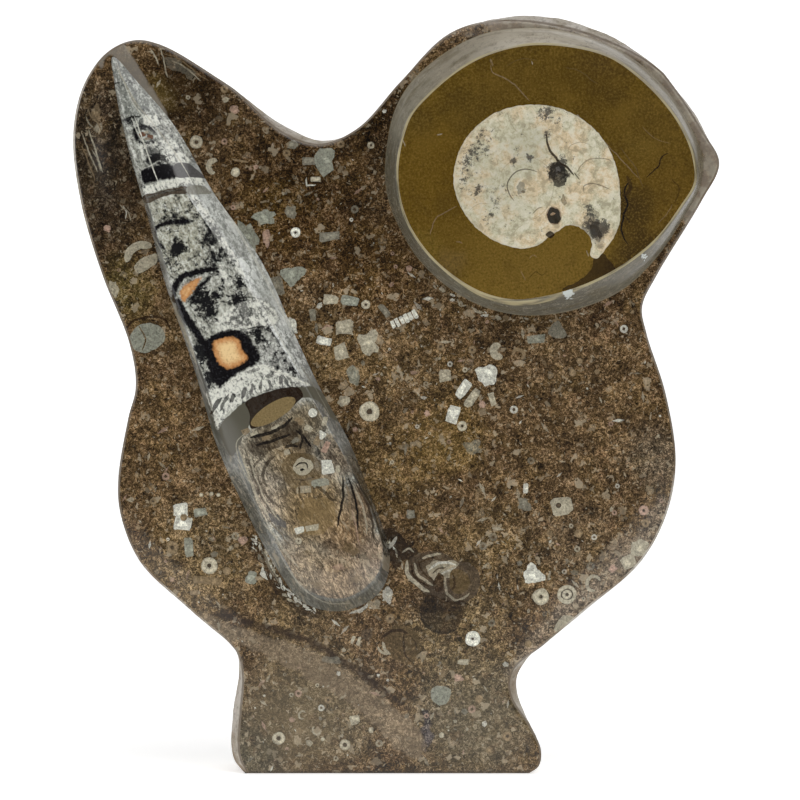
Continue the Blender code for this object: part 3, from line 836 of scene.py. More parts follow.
fieldFossils = [  # each row: what it is, its place and size, its tone and how well it covers
    # The upper rock, from the left lobe to the boss.
    (ossicle, -79.4, 251.6, 2.6, "bone", 0.75),
    (crescent, -72.2, 242, 2.4, 2.2, 60, 280, "bone", 0.9),
    (ossicle, -63.8, 239.6, 1.8, "bone", 1, 0),
    (stroke, [(-65.4, 244.8), (-62.2, 244), (-58.6, 243.6)], 0.8, "tan"),
    (lump, -64.2, 264.4, 4, 3.2, 0, "blush", 0.8),
    (ossicle, -68.2, 272.8, 1.6, "tan", 0.8),
    (ossicle, -43.4, 247.2, 1.6, "tan", 0.7),
    (lump, -41, 250.8, 4, 4, 0, "grey", 0.85),
    (ossicle, -21.8, 250.8, 1.6, "tan", 0.6),
    (plate, -34.6, 244, 5.6, 3.2, 0, "grey", 0.85),
    (lump, -27.8, 244, 7.6, 10, 0, "glass", 0.9),
    (plate, -31.8, 236.8, 4, 2),
    (stroke, [(-35.4, 237.6), (-35.4, 233.6)], 0.6, "bright", 0.8),
    (stroke, [(-35.8, 234.4), (-31.8, 234.4)], 0.6, "bright", 0.8),
    (lump, -51.8, 221.6, 8.4, 6.8, 0, "glass", 0.95),
    (lump, -41.8, 224, 4.8, 4.8, 0, "grey", 0.85),
    (ossicle, -39.8, 215.6, 2, "bright", 1, 0.28),
    (plate, -26.2, 214, 8, 3.6, 8, "grey", 0.95),
    (lump, -51.4, 213.6, 3.2, 6, 0, "blush", 0.8),
    (lump, -58.6, 214.4, 6.4, 13.6, 20, "glass", 0.9),
    (lump, -41, 198.8, 8, 8, 0, "glass"),
    (plate, -47.8, 194.4, 7.2, 7.6, 15, "grey", 0.8),
    (plate, -25.8, 188.8, 6, 3.6, -4),
    (plate, -18.2, 188.4, 6.8, 3.6, -8, "glass"),
    (plate, -33, 182.8, 2.4, 4.8, 10, "grey", 0.9),
    (ossicle, -11.8, 186.8, 1.8),
    (plate, -4.6, 184.4, 5.6, 2.4, -50, "grey", 0.9),
    (ossicle, -38.2, 207.2, 1.3, "tan", 0.6),
    (patch, [(-91.8, 285.6), (-87, 284.8), (-83, 280.8), (-79.8, 279.2), (-82.2, 276.8), (-87, 280),
        (-91, 280.8)], "grey", 0.4, 1.2, 0.6),
    (stroke, [(-97.8, 289.2), (-95.8, 285.6), (-94.2, 282)], 0.6, "bone", 0.7),
    (stroke, [(-94.2, 289.6), (-92.6, 285.2), (-91.8, 280.8), (-91, 277.2)], 0.6, "bone", 0.6),
    (stroke, [(-89.4, 284), (-85.4, 282.4), (-82.2, 280), (-77.4, 276)], 0.6, "bone", 0.5),
    (stroke, [(-93, 287.2), (-86.2, 284.8), (-82.2, 281.6), (-78.2, 278.4), (-74.2, 276)], 0.5, "tan",
        0.45),
    (lump, -119.8, 263.2, 3.2, 6.8, -15, "tan", 0.55),
    (lump, -118.6, 257.6, 2.8, 4.8, -15, "bone", 0.4),
    (stroke, [(-122.6, 257.2), (-120.2, 249.6), (-117, 239.6)], 0.7, "bone", 0.7),
    (stroke, [(-125, 255.6), (-123, 248.8), (-119, 239.6)], 0.6, "bone", 0.6),
    (stroke, [(-123, 265.6), (-121.4, 261.6), (-118.6, 259.2), (-117.4, 255.2)], 0.6, "tan", 0.7),
    (stroke, [(-124.6, 248.8), (-122.2, 242.4), (-119.8, 236)], 0.6, "tan", 0.6),
    (stroke, [(-108.6, 226.4), (-107.4, 223.6), (-107.8, 220.8)], 0.5, "bright", 0.6),
    (stroke, [(-121.4, 248.8), (-119, 244.8), (-117.8, 240)], 0.5, "bone", 0.5),
    (stroke, [(-123.8, 262.4), (-122.6, 259.6), (-120.6, 257.6)], 0.6, "bone", 0.5),
    (stroke, [(-110.2, 226.8), (-107, 224), (-105.4, 220)], 0.5, "bone", 0.5),
    # The left edge.
    (stroke, [(-107.4, 203.6), (-106.2, 207.2), (-102.6, 210.4), (-97, 210)], 3.2, "bone", 0.95),
    (stroke, [(-105.4, 204), (-103.4, 206.4), (-99.8, 207.6)], 0.6, "umber", 0.7),
    (patch, [(-104.2, 201.6), (-101, 205.6), (-95, 206.8), (-95.4, 204), (-99.8, 200.4), (-102.6, 199.6)],
        "bone", 0.9),
    (lump, -115, 217.2, 2.8, 2.8, 0, "blush", 0.9),
    (lump, -112.6, 192.8, 4, 6.8, 0, "bone", 0.8),
    (patch, [(-105.8, 172.8), (-103.8, 177.6), (-99.4, 179.2), (-94.2, 178.4), (-91.8, 174), (-95, 169.6),
        (-99.8, 167.6), (-103.8, 168.8)], "glass", 0.95),
    (stroke, [(-102.2, 178.4), (-99.8, 173.6), (-101, 168.4)], 0.6, "brown", 0.5),
    (stroke, [(-109.4, 175.2), (-105.4, 179.6), (-98.2, 182), (-91.8, 180.8), (-89.4, 176.8)], 0.9, "umber",
        0.85),
    (lump, -41, 178.8, 3.2, 6, 15, "bright", 0.95),
    # The middle, between the shell and the boss.
    (plate, -20.2, 177.6, 6.4, 5.6, 0, "bone", 0.9),
    (lump, -11, 171.6, 9.2, 10),
    (plate, -21.8, 168, 5.6, 6.4, 20, "bone", 0.95),
    (plate, -28.6, 172.4, 5.6, 3.6, -12, "bright", 0.95),
    (stroke, [(-29.4, 176.8), (-27, 178.4), (-25, 177.2)], 0.8, "blush", 0.8),
    (ringedStem, 3.4, 181, 11.6, 3.6, 25, 6),
    (lump, -16.6, 158.4, 5.6, 7.6, 0, "glass", 0.7),
    (lump, -20.2, 148.4, 4.8, 4, 0, "bone", 0.8),
    (ossicle, -10.4, 144.2, 4.1),
    (crust, [(15.4, 195.2), (20.2, 191.2), (25.4, 187.6), (30.6, 184.8), (36.2, 182.8), (42.6, 181.2)], 40,
        3, ("bone", "bright", "tan", "bone"), 21),
    (crust, [(49.8, 180.8), (59.8, 180.4), (69.8, 181.6), (80.2, 184.8)], 22, 2.4, ("bone", "tan", "grey"),
        22),
    (ossicle, 30.6, 168.8, 1.6, "tan"),
    (crescent, 41.4, 168.4, 2.4, 3, 80, 300, "bone", 0.9),
    (crescent, 49, 166.8, 2, 1.4, -50, 200, "tan", 0.9),
    (plate, 56.2, 173.2, 6.8, 3.6, 5, "glass", 0.8),
    (patch, [(61, 175.2), (64.2, 180.4), (68.2, 174.4), (65, 173.2)], "grey", 0.9),
    (lump, 36.6, 159.2, 9.2, 8.8, 0, "bright"),
    (plate, 27, 153.2, 8, 3.6, 55, "bright", 0.95),
    (plate, 30.6, 149.6, 8.4, 3.2, 55, "bone", 0.95),
    (plate, 23, 143.2, 4.8, 6.8, -15, "bright", 0.95),
    (lump, 34.6, 147.2, 3.2, 3.2, 0, "blush"),
    (plate, 38.6, 149.2, 2.4, 5.6, 15, "bone", 0.9),
    (ossicle, 26.6, 138.4, 2),
    (plate, 19.8, 158.4, 4.8, 4.4, 4, "bone", 0.85),
    (lump, 12.6, 143.6, 2.4, 2.4, 0, "blush"),
    (ossicle, 70.6, 159.6, 1.4, "tan", 1, 0),
    (ossicle, 73.4, 164.4, 1.2, "tan", 1, 0),
    (lump, 30.6, 130, 8, 6, 0, "glass", 0.4),
    (plate, 51.8, 113.6, 2, 4, 0, "bright", 0.8),
    # The left belly.
    (plate, -85.8, 104.8, 6, 5.2, 4, "bright", 0.95),
    (plate, -84.8, 99.6, 6.8, 5.2, -6, "bright", 0.95),
    (ossicle, -84.4, 102, 1.4, "tan", 1, 0),
    (plate, -77.8, 104, 5.2, 3.2, 10, "glass", 0.95),
    (ossicle, -77.4, 111, 0.8, "bone", 1, 0),
    (ossicle, -73.4, 111.4, 0.8, "bone", 1, 0),
    (ossicle, -70.6, 111, 0.8, "bone", 1, 0),
    (ossicle, -96.6, 108.4, 1.4, "tan"),
    (ossicle, -102.6, 98, 0.9, "tan", 1, 0),
    (ossicle, -89, 90, 2.6, "tan", 0.85),
    (plate, -82.6, 90, 3.6, 7.6, 6, "glass", 0.9),
    (ossicle, -74.2, 82.8, 3.4, "bone", 1, 0.26),
    (ossicle, -67.2, 80.6, 1.6, "tan", 1, 0),
    (plate, -75, 76.8, 11.2, 3.2, -5, "tan", 0.8),
    (lump, -57.4, 77.8, 5.2, 6, 0, "glass"),
    (plate, -51, 81.2, 4.8, 7.2, -18, "bright", 0.95),
    (ossicle, -51.6, 88.2, 1.4, "bone", 1, 0),
    (plate, -80.2, 72, 3.2, 2, 0, "tan"),
    (lump, -61, 92.8, 3.6, 3.6, 0, "blush", 0.9),
    (patch, [(-57.4, 95.2), (-53.8, 92), (-50.6, 86), (-47, 79.6), (-42.6, 73.6), (-37, 68.4),
        (-30.2, 64.4), (-31, 62), (-37.4, 63.6), (-43, 67.2), (-48.2, 72.8), (-52.2, 79.6), (-55.4, 86.4),
        (-58.2, 92.4)], "umber", 0.6, 1, 0.4),
    (crust, [(-56.6, 94.4), (-53.4, 89.2), (-50.2, 83.2), (-46.6, 77.2), (-41.8, 71.6), (-36.6, 67.2),
        (-31, 64)], 46, 3.2, ("bright", "bright", "bone"), 5),
    (crust, [(-57.4, 92), (-54.2, 86), (-50.2, 78.8), (-44.6, 72), (-38.2, 66.4)], 26, 2.6, ("bright",
        "grey", "bone"), 8),
    (crust, [(-7.8, 72), (-3.8, 70), (-6.2, 67.2), (-11, 66), (-15, 64)], 22, 2.6, ("bright", "grey",
        "bone"), 9),
    (stroke, [(-9.4, 68.8), (-13.4, 65.6), (-18.2, 63.6)], 1, "bright", 0.7),
    (stroke, [(-53.4, 89.6), (-50.2, 82.4), (-46.2, 75.2)], 0.9, "grey", 0.7),
    (plate, 6.2, 103.2, 3.2, 3.6, 0, "grey"),
    # The right belly and the lower edge.
    (lump, 51.4, 107.2, 5.2, 4.8, 0, "grey", 0.9),
    (plate, 66.2, 106.4, 7.6, 6.8, 10, "bone", 0.95),
    (ossicle, 65, 106.8, 1.1, "dusk", 1, 0),
    (ossicle, 99, 104.8, 2, "blush"),
    (ossicle, 99.8, 99.6, 1.6, "tan"),
    (lump, 97.4, 89.8, 7.2, 6.8),
    (plate, 93, 84, 5.6, 5.2, 20, "bone", 0.9),
    (lump, 86.6, 81.6, 3.2, 3.2, 0, "blush"),
    (lump, 55, 78.8, 7.6, 7.6, 0, "bright"),
    (ossicle, 58, 70.4, 3.3, "bone", 1, 0.22),
    (ossicle, 68.4, 71.2, 3.8, "bone", 1, 0.62),
    (ossicle, 68.4, 71.2, 1.9, "bone", 1, 0.35),
    (crescent, 79, 75.6, 2.8, 1.4, 20, 290, "bone", 0.9),
    (patch, [(63.4, 57.2), (67, 62.8), (71.4, 62), (70.2, 56.8), (65.8, 56)], "bone", 0.9),
    (ossicle, 53, 51.6, 1.4, "tan", 1, 0),
    (ossicle, 30.8, 53.6, 3.1, "bright", 1, 0.18),
    (plate, 27, 44.4, 4.4, 2, 0, "bone", 0.9),
    (lump, 25, 38, 4, 3.2, 0, "blush", 0.9),
    (patch, [(14.2, 33.6), (17.8, 34.8), (21.8, 33.2), (21.4, 29.2), (18.2, 27.2), (14.6, 29.2)], "glass",
        0.95),
    (ossicle, 33.4, 29.6, 1.6, "tan", 1, 0),
    (ossicle, 44.6, 14.8, 2, "tan"),
    (ossicle, 37.4, 9.2, 1.3, "tan", 1, 0),
    (ossicle, 18.4, 15.2, 1.1, "bone", 1, 0),
    (ossicle, 73, 95.6, 1.6, "tan", 1, 0),
    (plate, -17, 53.2, 1.2, 3.2, -20),
    (plate, -14.6, 52.8, 1.2, 3.2, -20),
    (crescent, -3.4, 51.2, 3.6, 1, 190, 300, "bone", 0.8),
    (ossicle, -11.4, 55.2, 2.4, "dusk", 0.6),
    (ossicle, -2.2, 61.6, 1.8, "tan"),
    # The coiled shell below the orthoceras.
    (patch, [(-4.6, 55.2), (-1.4, 58.4), (4.2, 58.4), (9, 55.2), (9.8, 48.8), (6.6, 44), (1, 44.8),
        (-3.8, 48.8)], "brown", 0.55),
    (stroke, [(-5.8, 53.6), (-2.2, 56.4), (1.8, 56.8), (5, 55.6)], 1.2, "umber", 0.85),
    (stroke, [(3.4, 55.6), (3.2, 51.2), (4.2, 46.8), (6.6, 44)], 0.8, "umber", 0.8),
    (stroke, [(5.4, 55.2), (8.2, 52), (8.6, 48.8)], 0.6, "umber", 0.6),
    (stroke, [(-5, 52.4), (-4.2, 49.2), (-1.8, 47.2)], 1.2, "bone", 0.9),
    (patch, [(-6.2, 95.2), (-2.2, 97.6), (2.6, 95.6), (5, 90.8), (9.8, 88), (9, 84.8), (3.4, 85.6),
        (1, 80.4), (-2.2, 84), (-4.6, 89.6)], "umber", 0.8, 1.8, 0.8),
    (crust, [(-5, 93.6), (-1.4, 90.8), (1, 86.4), (2.6, 82.4)], 12, 3, ("bright", "bone", "grey"), 12),
    (stroke, [(-3.8, 88.4), (-1, 92), (0.6, 94.4)], 1.4, "bright", 0.6),
    (stroke, [(2.6, 88), (5.8, 89.6), (7.4, 88)], 0.8, "bone", 0.7),
    (patch, [(5, 84.8), (9.8, 87.6), (17.8, 88.4), (24.2, 84.8), (29.8, 83.6), (33.4, 79.2), (33, 72.8),
        (29, 68.8), (22.6, 68), (16.2, 68.8), (10.6, 72.8), (5.8, 76.8)], "dusk", 0.75),
    (stroke, [(4.6, 84.8), (4.6, 80), (7.4, 76.4), (11, 73.6), (13.8, 72.4)], 1.6, "bone", 0.9),
    (stroke, [(6.2, 83.6), (7, 79.2), (9.8, 76.4), (13.4, 74.4)], 0.8, "umber", 0.85),
    (stroke, [(7.4, 84), (8.6, 79.6), (11.4, 77.2), (15, 74.8)], 1.1, "bone", 0.7),
    (stroke, [(9, 84.8), (10.6, 80.8), (13.4, 78), (16.2, 76.4)], 0.6, "umber", 0.8),
    (stroke, [(10.2, 85.6), (13.4, 86.8), (18.2, 87.6)], 1, "bone", 0.75),
    (stroke, [(9.4, 83.6), (12.2, 85.2), (16.2, 86)], 0.6, "umber", 0.7),
    (patch, [(12.2, 82.4), (15.4, 84.4), (19.4, 84.8), (25.4, 83.6), (22.6, 81.2), (21.8, 77.6), (19, 79.2),
        (16.6, 76.4), (13.4, 78.8)], "bone", 0.7, 0.8, 0.3),
    (stroke, [(13, 81.2), (16.2, 83.2), (20.2, 84), (24.2, 82.8)], 1, "bright", 0.8),
    (stroke, [(14.6, 79.6), (17, 81.6), (20.2, 82)], 0.6, "dusk", 0.6),
    (stroke, [(18.2, 79.2), (20.6, 80.8), (24.2, 82)], 0.8, "bright", 0.6),
    (patch, [(17.4, 80), (19, 79.2), (19, 73.6), (17, 72), (15, 75.2)], "umber", 0.7),
    (stroke, [(20.2, 80), (19.8, 75.2), (21, 71.2), (23.8, 68.8), (27, 69.6), (29.8, 72)], 1, "bone", 0.55),
    (patch, [(22.2, 80.8), (25.8, 81.2), (29, 78.4), (29, 73.6), (25.8, 71.2), (22.6, 72.8), (21.4, 76.8)],
        "brown", 0.85),
    (stroke, [(22.6, 79.6), (23.4, 76), (22.6, 72.8)], 1, "umber", 0.6),
    (patch, [(9.8, 68.8), (13, 71.2), (17.8, 70), (22.6, 68.4), (27.4, 68.8), (27.4, 64), (24.2, 57.6),
        (19.4, 56), (13.8, 57.2), (10.2, 62.4)], "umber", 0.6, 0.6),
    (patch, [(10.2, 68), (13.8, 70.4), (18.2, 68.8), (19, 62.4), (17.8, 57.2), (13, 58.4), (10.2, 62.8)],
        "ink", 0.6, 0.6),
    (stroke, [(9.8, 64), (11.4, 60), (15, 56.8), (20.6, 56), (24.6, 57.6)], 1, "ink", 0.8),
    (stroke, [(17.8, 61.6), (22.6, 62.8), (27, 66)], 0.8, "ink", 0.6),
    (lump, -3, 71.2, 3.6, 6, 15, "bright", 0.6),
    (lump, -8.6, 67.2, 5.6, 3.6, -20, "bone", 0.5),
    # The foot of the slab.
    (ossicle, -46.6, 14, 2.6, "bone", 0.95, 0.35),
    (ossicle, -20.2, 11.4, 2.2, "bone", 0.9, 0.4),
    (ossicle, -26.8, 29.2, 1.6, "tan"),
    (crescent, -37, 23.2, 1.6, 0.8, 40, 290, "bone", 0.8),
    (crescent, -31.4, 17.2, 1.6, 0.8, 120, 360, "bone", 0.8),
    (ossicle, -29, 13.6, 0.8, "bone", 1, 0),
    (plate, -16.2, 21.4, 3.6, 3.6, 12, "bone", 0.9),
    (plate, -9.8, 17.2, 2, 2, 0, "bone", 0.8),
    (lump, -25.4, 45.2, 8, 3.2, 0, "grey", 0.6),
]


scatter = {  # small broken bits: how many, how large, and where they gather
    "seed": 11,
    "count": 950,
    "tries": 9000,
    "clearance": 1.6,
    "smallest": 0.35,
    "largest": 1.7,
    "crowds": [
        (19.8, 160.8, 44, 1), (49.8, 84.8, 44, 0.8), (77.8, 68.8, 24, 0.9), (-66.2, 80.8, 28, 0.7),
        (-26.2, 176.8, 20, 0.8), (-30.2, 28.8, 32, 0.5), (29.8, 32.8, 24, 0.6), (-38.2, 224.8, 28, 0.35),
    ],
    "background": 0.22,
    "quietLobe": (-120.2, 232.8, 48, 0.16),
}


def scatteredBits(ring, holes, taken):
    draw = random.Random(scatter["seed"])
    low, high = ring.min(0), ring.max(0)
    made = []
    tries = np.array([
        (draw.uniform(low[0], high[0]), draw.uniform(low[1], high[1])) for _ in range(scatter["tries"])
    ])
    fits = depthInside(ring, tries) > scatter["clearance"]
    for hole in holes:
        fits &= depthInside(hole, tries) < -scatter["clearance"]
    for bit in taken:
        middle = bit["ring"].mean(0)
        fits &= np.hypot(*(tries - middle).T) > np.hypot(*(bit["ring"] - middle).T).max() + 0.9
    qx, qz, quietReach, quietShare = scatter["quietLobe"]
    for (x, z), fit in zip(tries, fits):
        luck, size, turn, kind, toneDraw, cover = (draw.random() for _ in range(6))
        chance = scatter["background"]
        for cx, cz, reach, extra in scatter["crowds"]:
            chance += extra * max(0, 1 - math.hypot(x - cx, z - cz) / reach)
        if math.hypot(x - qx, z - qz) < quietReach:
            chance *= quietShare
        if not fit or luck > chance or len(made) >= scatter["count"]:
            continue
        reach = scatter["smallest"] + (scatter["largest"] - scatter["smallest"]) * size ** 3.2
        tone = ("tan", "bone", "blush", "grey", "bright", "tan", "bone")[int(7 * toneDraw)]
        strength = 0.35 + 0.5 * cover
        if kind < 0.16 and reach > 0.55:
            made += ossicle(x, z, reach, tone, strength, 0.4)
        elif kind < 0.55:
            chunk = roundRing(x, z, 2 * reach, 2 * reach * (0.4 + 0.6 * cover), 180 * turn, 5, 0.5, x)
            made += [inlay(chunk, tone, strength)]
        else:
            sliver = roundRing(x, z, 3.4 * reach, 0.9 * reach, 180 * turn, 4, 0.4, z)
            made += [inlay(sliver, tone, strength)]
    return made


def makePolishedFace():
    outer, holes = faceRing, [bossFoot, shellFoot]
    big = laid(fieldFossils)
    small = scatteredBits(outer, holes, big)
    loose = staggeredGrid(outer, face["gridSpacing"], 0.9)
    for hole in holes:
        loose = loose[depthInside(hole, loose) < -0.9]
    slopes = np.concatenate([insetRing(outer, depth) for depth in (0.35, 0.8, 1.3)])
    loose = np.concatenate([loose, slopes])
    made = inlaidSheet("polished_face", outer, holes, [], small + big, loose, faceDepth)
    places = flatPlaces(made)
    pointValues(made, "ground", paintStains(places, face["ground"], face["stains"]))
    for name, rings in seams.items():
        pointValues(made, name, fieldOf(places, rings, 6))
    pointValues(made, "calm", spots(places, face["calm"]))
    pointValues(made, "lit", 1 - np.clip(spots(places, face["dim"]), 0, 0.5))
    made.data.materials.append(makeFaceMaterial())
    print("polished face:", len(made.data.polygons), "faces,", len(small), "small bits")
    return made


def makeFaceMaterial():
    material, shader, place = startMaterial("polishedCrinoidLimestone", specular=0.4)
    grit = useGroup(crinoidGrit, Vector=place, Grain=0.74, Chips=0.6)
    ground = attribute("ground", "Color")
    ragged = times(minus(grain(place, 5, 4, 51), 0.5), 7)

    def soft(name, width):
        return fade(plus(attribute(name), ragged), -width, width)

    lively = minus(1, attribute("calm"), clamp=True)
    hue = minus(grain(place, 9, 4, 61, 0.6), 0.5)
    hue = times(hue, lively)
    ground = blend(times(hue, 1.7, clamp=True), ground, (108, 86, 46))
    ground = blend(times(hue, -1.6, clamp=True), ground, (48, 34, 22))
    rosy = fade(grain(place, 4.5, 4, 83, 0.65), 0.53, 0.66)
    ground = veil(ground, rosy, 0.25, (114, 86, 60))
    rimBand = soft("rimBand", 1.2)
    ground = veil(ground, soft("edgeBand", 1.5), 0.55, (134, 120, 102))
    lens = soft("lens", 1)
    ground = veil(ground, lens, 0.85, (124, 108, 86))
    ground = veil(ground, soft("vein", 0.7), 0.8, (70, 66, 70))
    tint = grittyColour(ground, grit, times(lively, 5.5), lively)
    tint = sized(tint, attribute("lit"))
    tint = veil(tint, lens, 0.42, (122, 106, 84))
    dusty = blend(fade(grain(place, 7, 5, 91, 0.6), 0.44, 0.58), (142, 130, 116), (168, 160, 144))
    tint = veil(tint, rimBand, 0.8, dusty)
    seam = timesPlus(ragged, 0.35, attribute("seam"))
    tint = veil(tint, fade(seam, 0.6, 2.2), 0.75, (44, 31, 22))
    tipEdge = timesPlus(ragged, 0.15, attribute("tip"))
    tint = veil(tint, fade(tipEdge, -0.4, 0.6), 0.7, (138, 132, 122))
    tint = inlaidColour(tint, place, times(fade(grit["Shade"], 0.5, 0.2), 0.3))
    # Painted shadow: the lowest 1.5 mm of the face is darkened like a contact shadow along the foot.
    low = put("SeparateXYZ", {0: place}).outputs[2]
    tint = veil(tint, fade(low, 1.5, 0.4), 0.6, (44, 40, 34))
    gloss = useGroup(polish, Vector=place, Gloss=face["gloss"], Wear=0.16)
    wire(shader, tint, gloss["Roughness"], grit["Height"], face["bump"])
    return material


# The rough sides, the sawn base and the rough back

sides = {
    "roughness": 0.9,
    "rows": 20,
    "stone": (176, 168, 154),
    "dust": (208, 202, 194),
    "stain": (128, 110, 88),
    "bump": 0.35,
}


def sideDepth(points, depth, amount):  # how far a rough side is broken inwards
    grains = np.array([
        noise.noise(Vector((x, depth, z)) / 19) + 0.5 * noise.noise(Vector((x, depth, z)) / 7)
        for x, z in points
    ])
    chips = np.abs(ruggedness(points, depth, 4))
    broken = amount * (np.maximum(0, 0.4 + grains) + 0.35 * chips)
    return broken * smoothStep((points[:, 1] - slab["baseCrisp"]) / 10)


def backRing():
    chamfer = slab["backChamfer"] * (0.2 + 0.8 * smoothStep(outerRing[:, 1] / slab["chamferClimb"]))
    return slabInset(outerRing, chamfer), chamfer


def makeRoughSides():
    front = faceDepth(faceRing)
    backs = backDepth(outerRing)
    lastRing, chamfer = backRing()
    round_ = slab["edgeRound"]
    rings = [withDepth(faceRing, front)]
    rings.append(withDepth(faceRing * 0.3 + sideFront * 0.7, front + 0.3 * round_))
    rings.append(withDepth(sideFront, front + round_))
    start, end = front + round_, backs - chamfer
    for row in range(1, sides["rows"] + 1):
        share = row / sides["rows"]
        depth = start + (end - start) * share
        bulge = min(1, share / slab["belly"])
        bulge = 1 - (1 - bulge) ** 2.2
        pulled = flares * (1 - bulge) + 0.3 * chamfer * smoothStep((share - 0.7) / 0.3)
        inward = slabInset(outerRing, pulled)
        worn = sideDepth(inward, -15 + 45 * share, sides["roughness"] * (0.4 + 1.2 * share))
        rings.append(withDepth(slabInset(inward, worn), depth))
    for share in (0.5, 1):
        ring = outerRing + (lastRing - outerRing) * (0.3 + 0.7 * share)
        rings.append(withDepth(ring, end + (backDepth(lastRing) - end) * share))
    made = loftSheet("rough_sides", rings, outward=False)
    made.data.materials.append(makeRoughMaterial("groundStoneSides", sides, dusty=0.65))
    print("rough sides:", len(made.data.polygons), "faces")
    return made


back = {
    "gridSpacing": 2.6,
    "stone": (140, 129, 112),
    "dust": (176, 169, 156),
    "stain": (96, 78, 58),
    "bump": 0.5,
}


def makeRoughBack():
    ring, _ = backRing()
    loose = staggeredGrid(ring, back["gridSpacing"], 0.8)
    made = inlaidSheet("rough_back", ring, [], [], [], loose, backDepth, flip=True)
    made.data.materials.append(makeRoughMaterial("chiselledStoneBack", back, dusty=0.4))
    print("rough back:", len(made.data.polygons), "faces")
    return made


def makeRoughMaterial(name, look, dusty):
    material, shader, place = startMaterial(name, specular=0.25)
    marks = useGroup(toolMarks, Vector=place, Spacing=2.4)
    grit = useGroup(crinoidGrit, Vector=place, Grain=1.3, Chips=0.8)
    clouds = fade(grain(place, 24, 4, 3), 0.4, 0.66)
    tint = blend(clouds, look["stone"], look["stain"])
    tint = veil(tint, fade(grit["Shade"], 0.3, 1), 0.35, (196, 188, 172))
    tint = veil(tint, grit["Pale"], 0.5, (206, 200, 186))
    tint = veil(tint, marks["Dust"], dusty, look["dust"])
    tint = veil(tint, fade(marks["Crumbs"], 0.52, 0.34), 0.55, (78, 66, 52))
    depth = put("SeparateXYZ", {0: place}).outputs[1]
    tint = veil(tint, fade(depth, slab["faceDepth"] + 1.9, slab["faceDepth"] + 0.9), 0.7, (92, 76, 56))
    roughness = timesPlus(marks["Marks"], 0.2, 0.62)
    wire(shader, tint, roughness, marks["Height"], look["bump"])
    return material


# The goniatite's boss: a ground wall in the rock that carries the disc

wall = {
    "rows": 14,
    "ground": (112, 106, 90),
    # These stains hold painted light and shade: the top of the wall is lighter where light from above
    # falls, and its left and lower sides are darker.
    "stains": [
        (-3, 232.8, 30, (84, 80, 66), 1.6), (1.8, 208.8, 22, (88, 84, 70), 1.4),
        (5.8, 264.8, 22, (138, 132, 116), 1.4), (21.8, 284.8, 24, (148, 140, 124), 1.4),
        (57.8, 294.8, 36, (184, 175, 158), 2.2), (97.8, 284.8, 24, (154, 146, 130), 1.5),
        (117.8, 264.8, 20, (146, 139, 124), 1.3), (123.4, 244, 12.8, (92, 83, 60), 1.6),
        (117.8, 224.8, 18, (100, 95, 80), 1.2), (97.8, 202.8, 20, (96, 91, 78), 1.4),
        (65.8, 190.8, 28, (92, 88, 77), 1.5), (29.8, 194.8, 24, (98, 95, 82), 1.4),
    ],
    "creamLine": (174, 162, 126),
    "creamLow": [(46.6, 188.8, 34, 0.24)],
    "chips": [(68.6, 190.8, 4.4, 1), (98.6, 205.6, 3.2, 0.8)],
    "layerPitch": 42,
    "layerSize": 8,
    "gloss": 0.2,
    "bump": 0.02,
}


def makeBossWall():
    rings, shares = [], []
    footDepth = faceDepth(bossFoot)
    for row in range(wall["rows"] + 1):
        t = row / wall["rows"]
        across = t - 0.08 * math.sin(math.pi * t)
        depth = footDepth + (bossDepth - footDepth) * t
        rings.append(withDepth(bossFoot + (bossTop - bossFoot) * across, depth))
        shares += [t] * len(bossFoot)
    rings.append(withDepth(insetRing(bossTop, 0.25), bossDepth - 0.06))
    rings.append(withDepth(discRim, bossDepth))
    shares += [1.15] * len(bossFoot) + [1.3] * len(bossFoot)
    made = loftSheet("boss_wall", rings, outward=False)
    places = flatPlaces(made)
    # The wall's ground colour carries painted light and shade from these stains.
    pointValues(made, "ground", paintStains(places, wall["ground"], wall["stains"], 3))
    share = np.array(shares)
    pointValues(made, "climb", share)
    pointValues(made, "creamLow", spots(places, wall["creamLow"]))
    pointValues(made, "chips", tallest(places, wall["chips"]))
    layered = np.stack([places[:, 0], share * wall["layerPitch"], places[:, 1]], 1)
    pointValues(made, "wallPlace", layered / wall["layerSize"])
    made.data.materials.append(makeWallMaterial())
    print("boss wall:", len(made.data.polygons), "faces")
    return made


def makeWallMaterial():
    material, shader, place = startMaterial("groundBossWall")
    grit = useGroup(crinoidGrit, Vector=place, Grain=0.9, Chips=0.5)
    along = attribute("wallPlace", "Vector")
    layers = grain(along, 0.55, 4, 0, 0.6)
    soft = grain(along, 1.6, 2, 5)
    # This ground colour holds painted light and shade: lighter at the top of the wall, darker at the left
    # and below.
    ground = attribute("ground", "Color")
    tint = veil(ground, fade(layers, 0.5, 0.7), 0.22, (176, 166, 146))
    tint = veil(tint, fade(layers, 0.48, 0.3), 0.25, (58, 52, 42))
    tint = veil(tint, fade(soft, 0.5, 0.68), 0.4, (92, 82, 58))
    tint = veil(tint, fade(grit["Shade"], 0.6, 1.1), 0.3, (190, 180, 160))
    tint = veil(tint, grit["Dark"], 0.5, (50, 44, 36))
    climb = attribute("climb")
    tint = veil(tint, fade(climb, 0.1, 0.02), 0.6, (136, 128, 104))
    lowClimb = plus(climb, attribute("creamLow"))
    rim = times(fade(lowClimb, 0.97, 1.02), fade(soft, 0.3, 0.62))
    tint = blend(rim, tint, wall["creamLine"])
    broken = timesPlus(grain(place, 1.6, 4, 57, 0.7), 1.6, attribute("chips"))
    tint = veil(tint, fade(broken, 1.42, 1.5), 0.9, (206, 212, 208))
    gloss = useGroup(polish, Vector=place, Gloss=wall["gloss"], Wear=0.12)
    wire(shader, tint, gloss["Roughness"], grit["Height"], wall["bump"])
    return material


# The goniatite: an olive mud disc with the cream coil of the shell

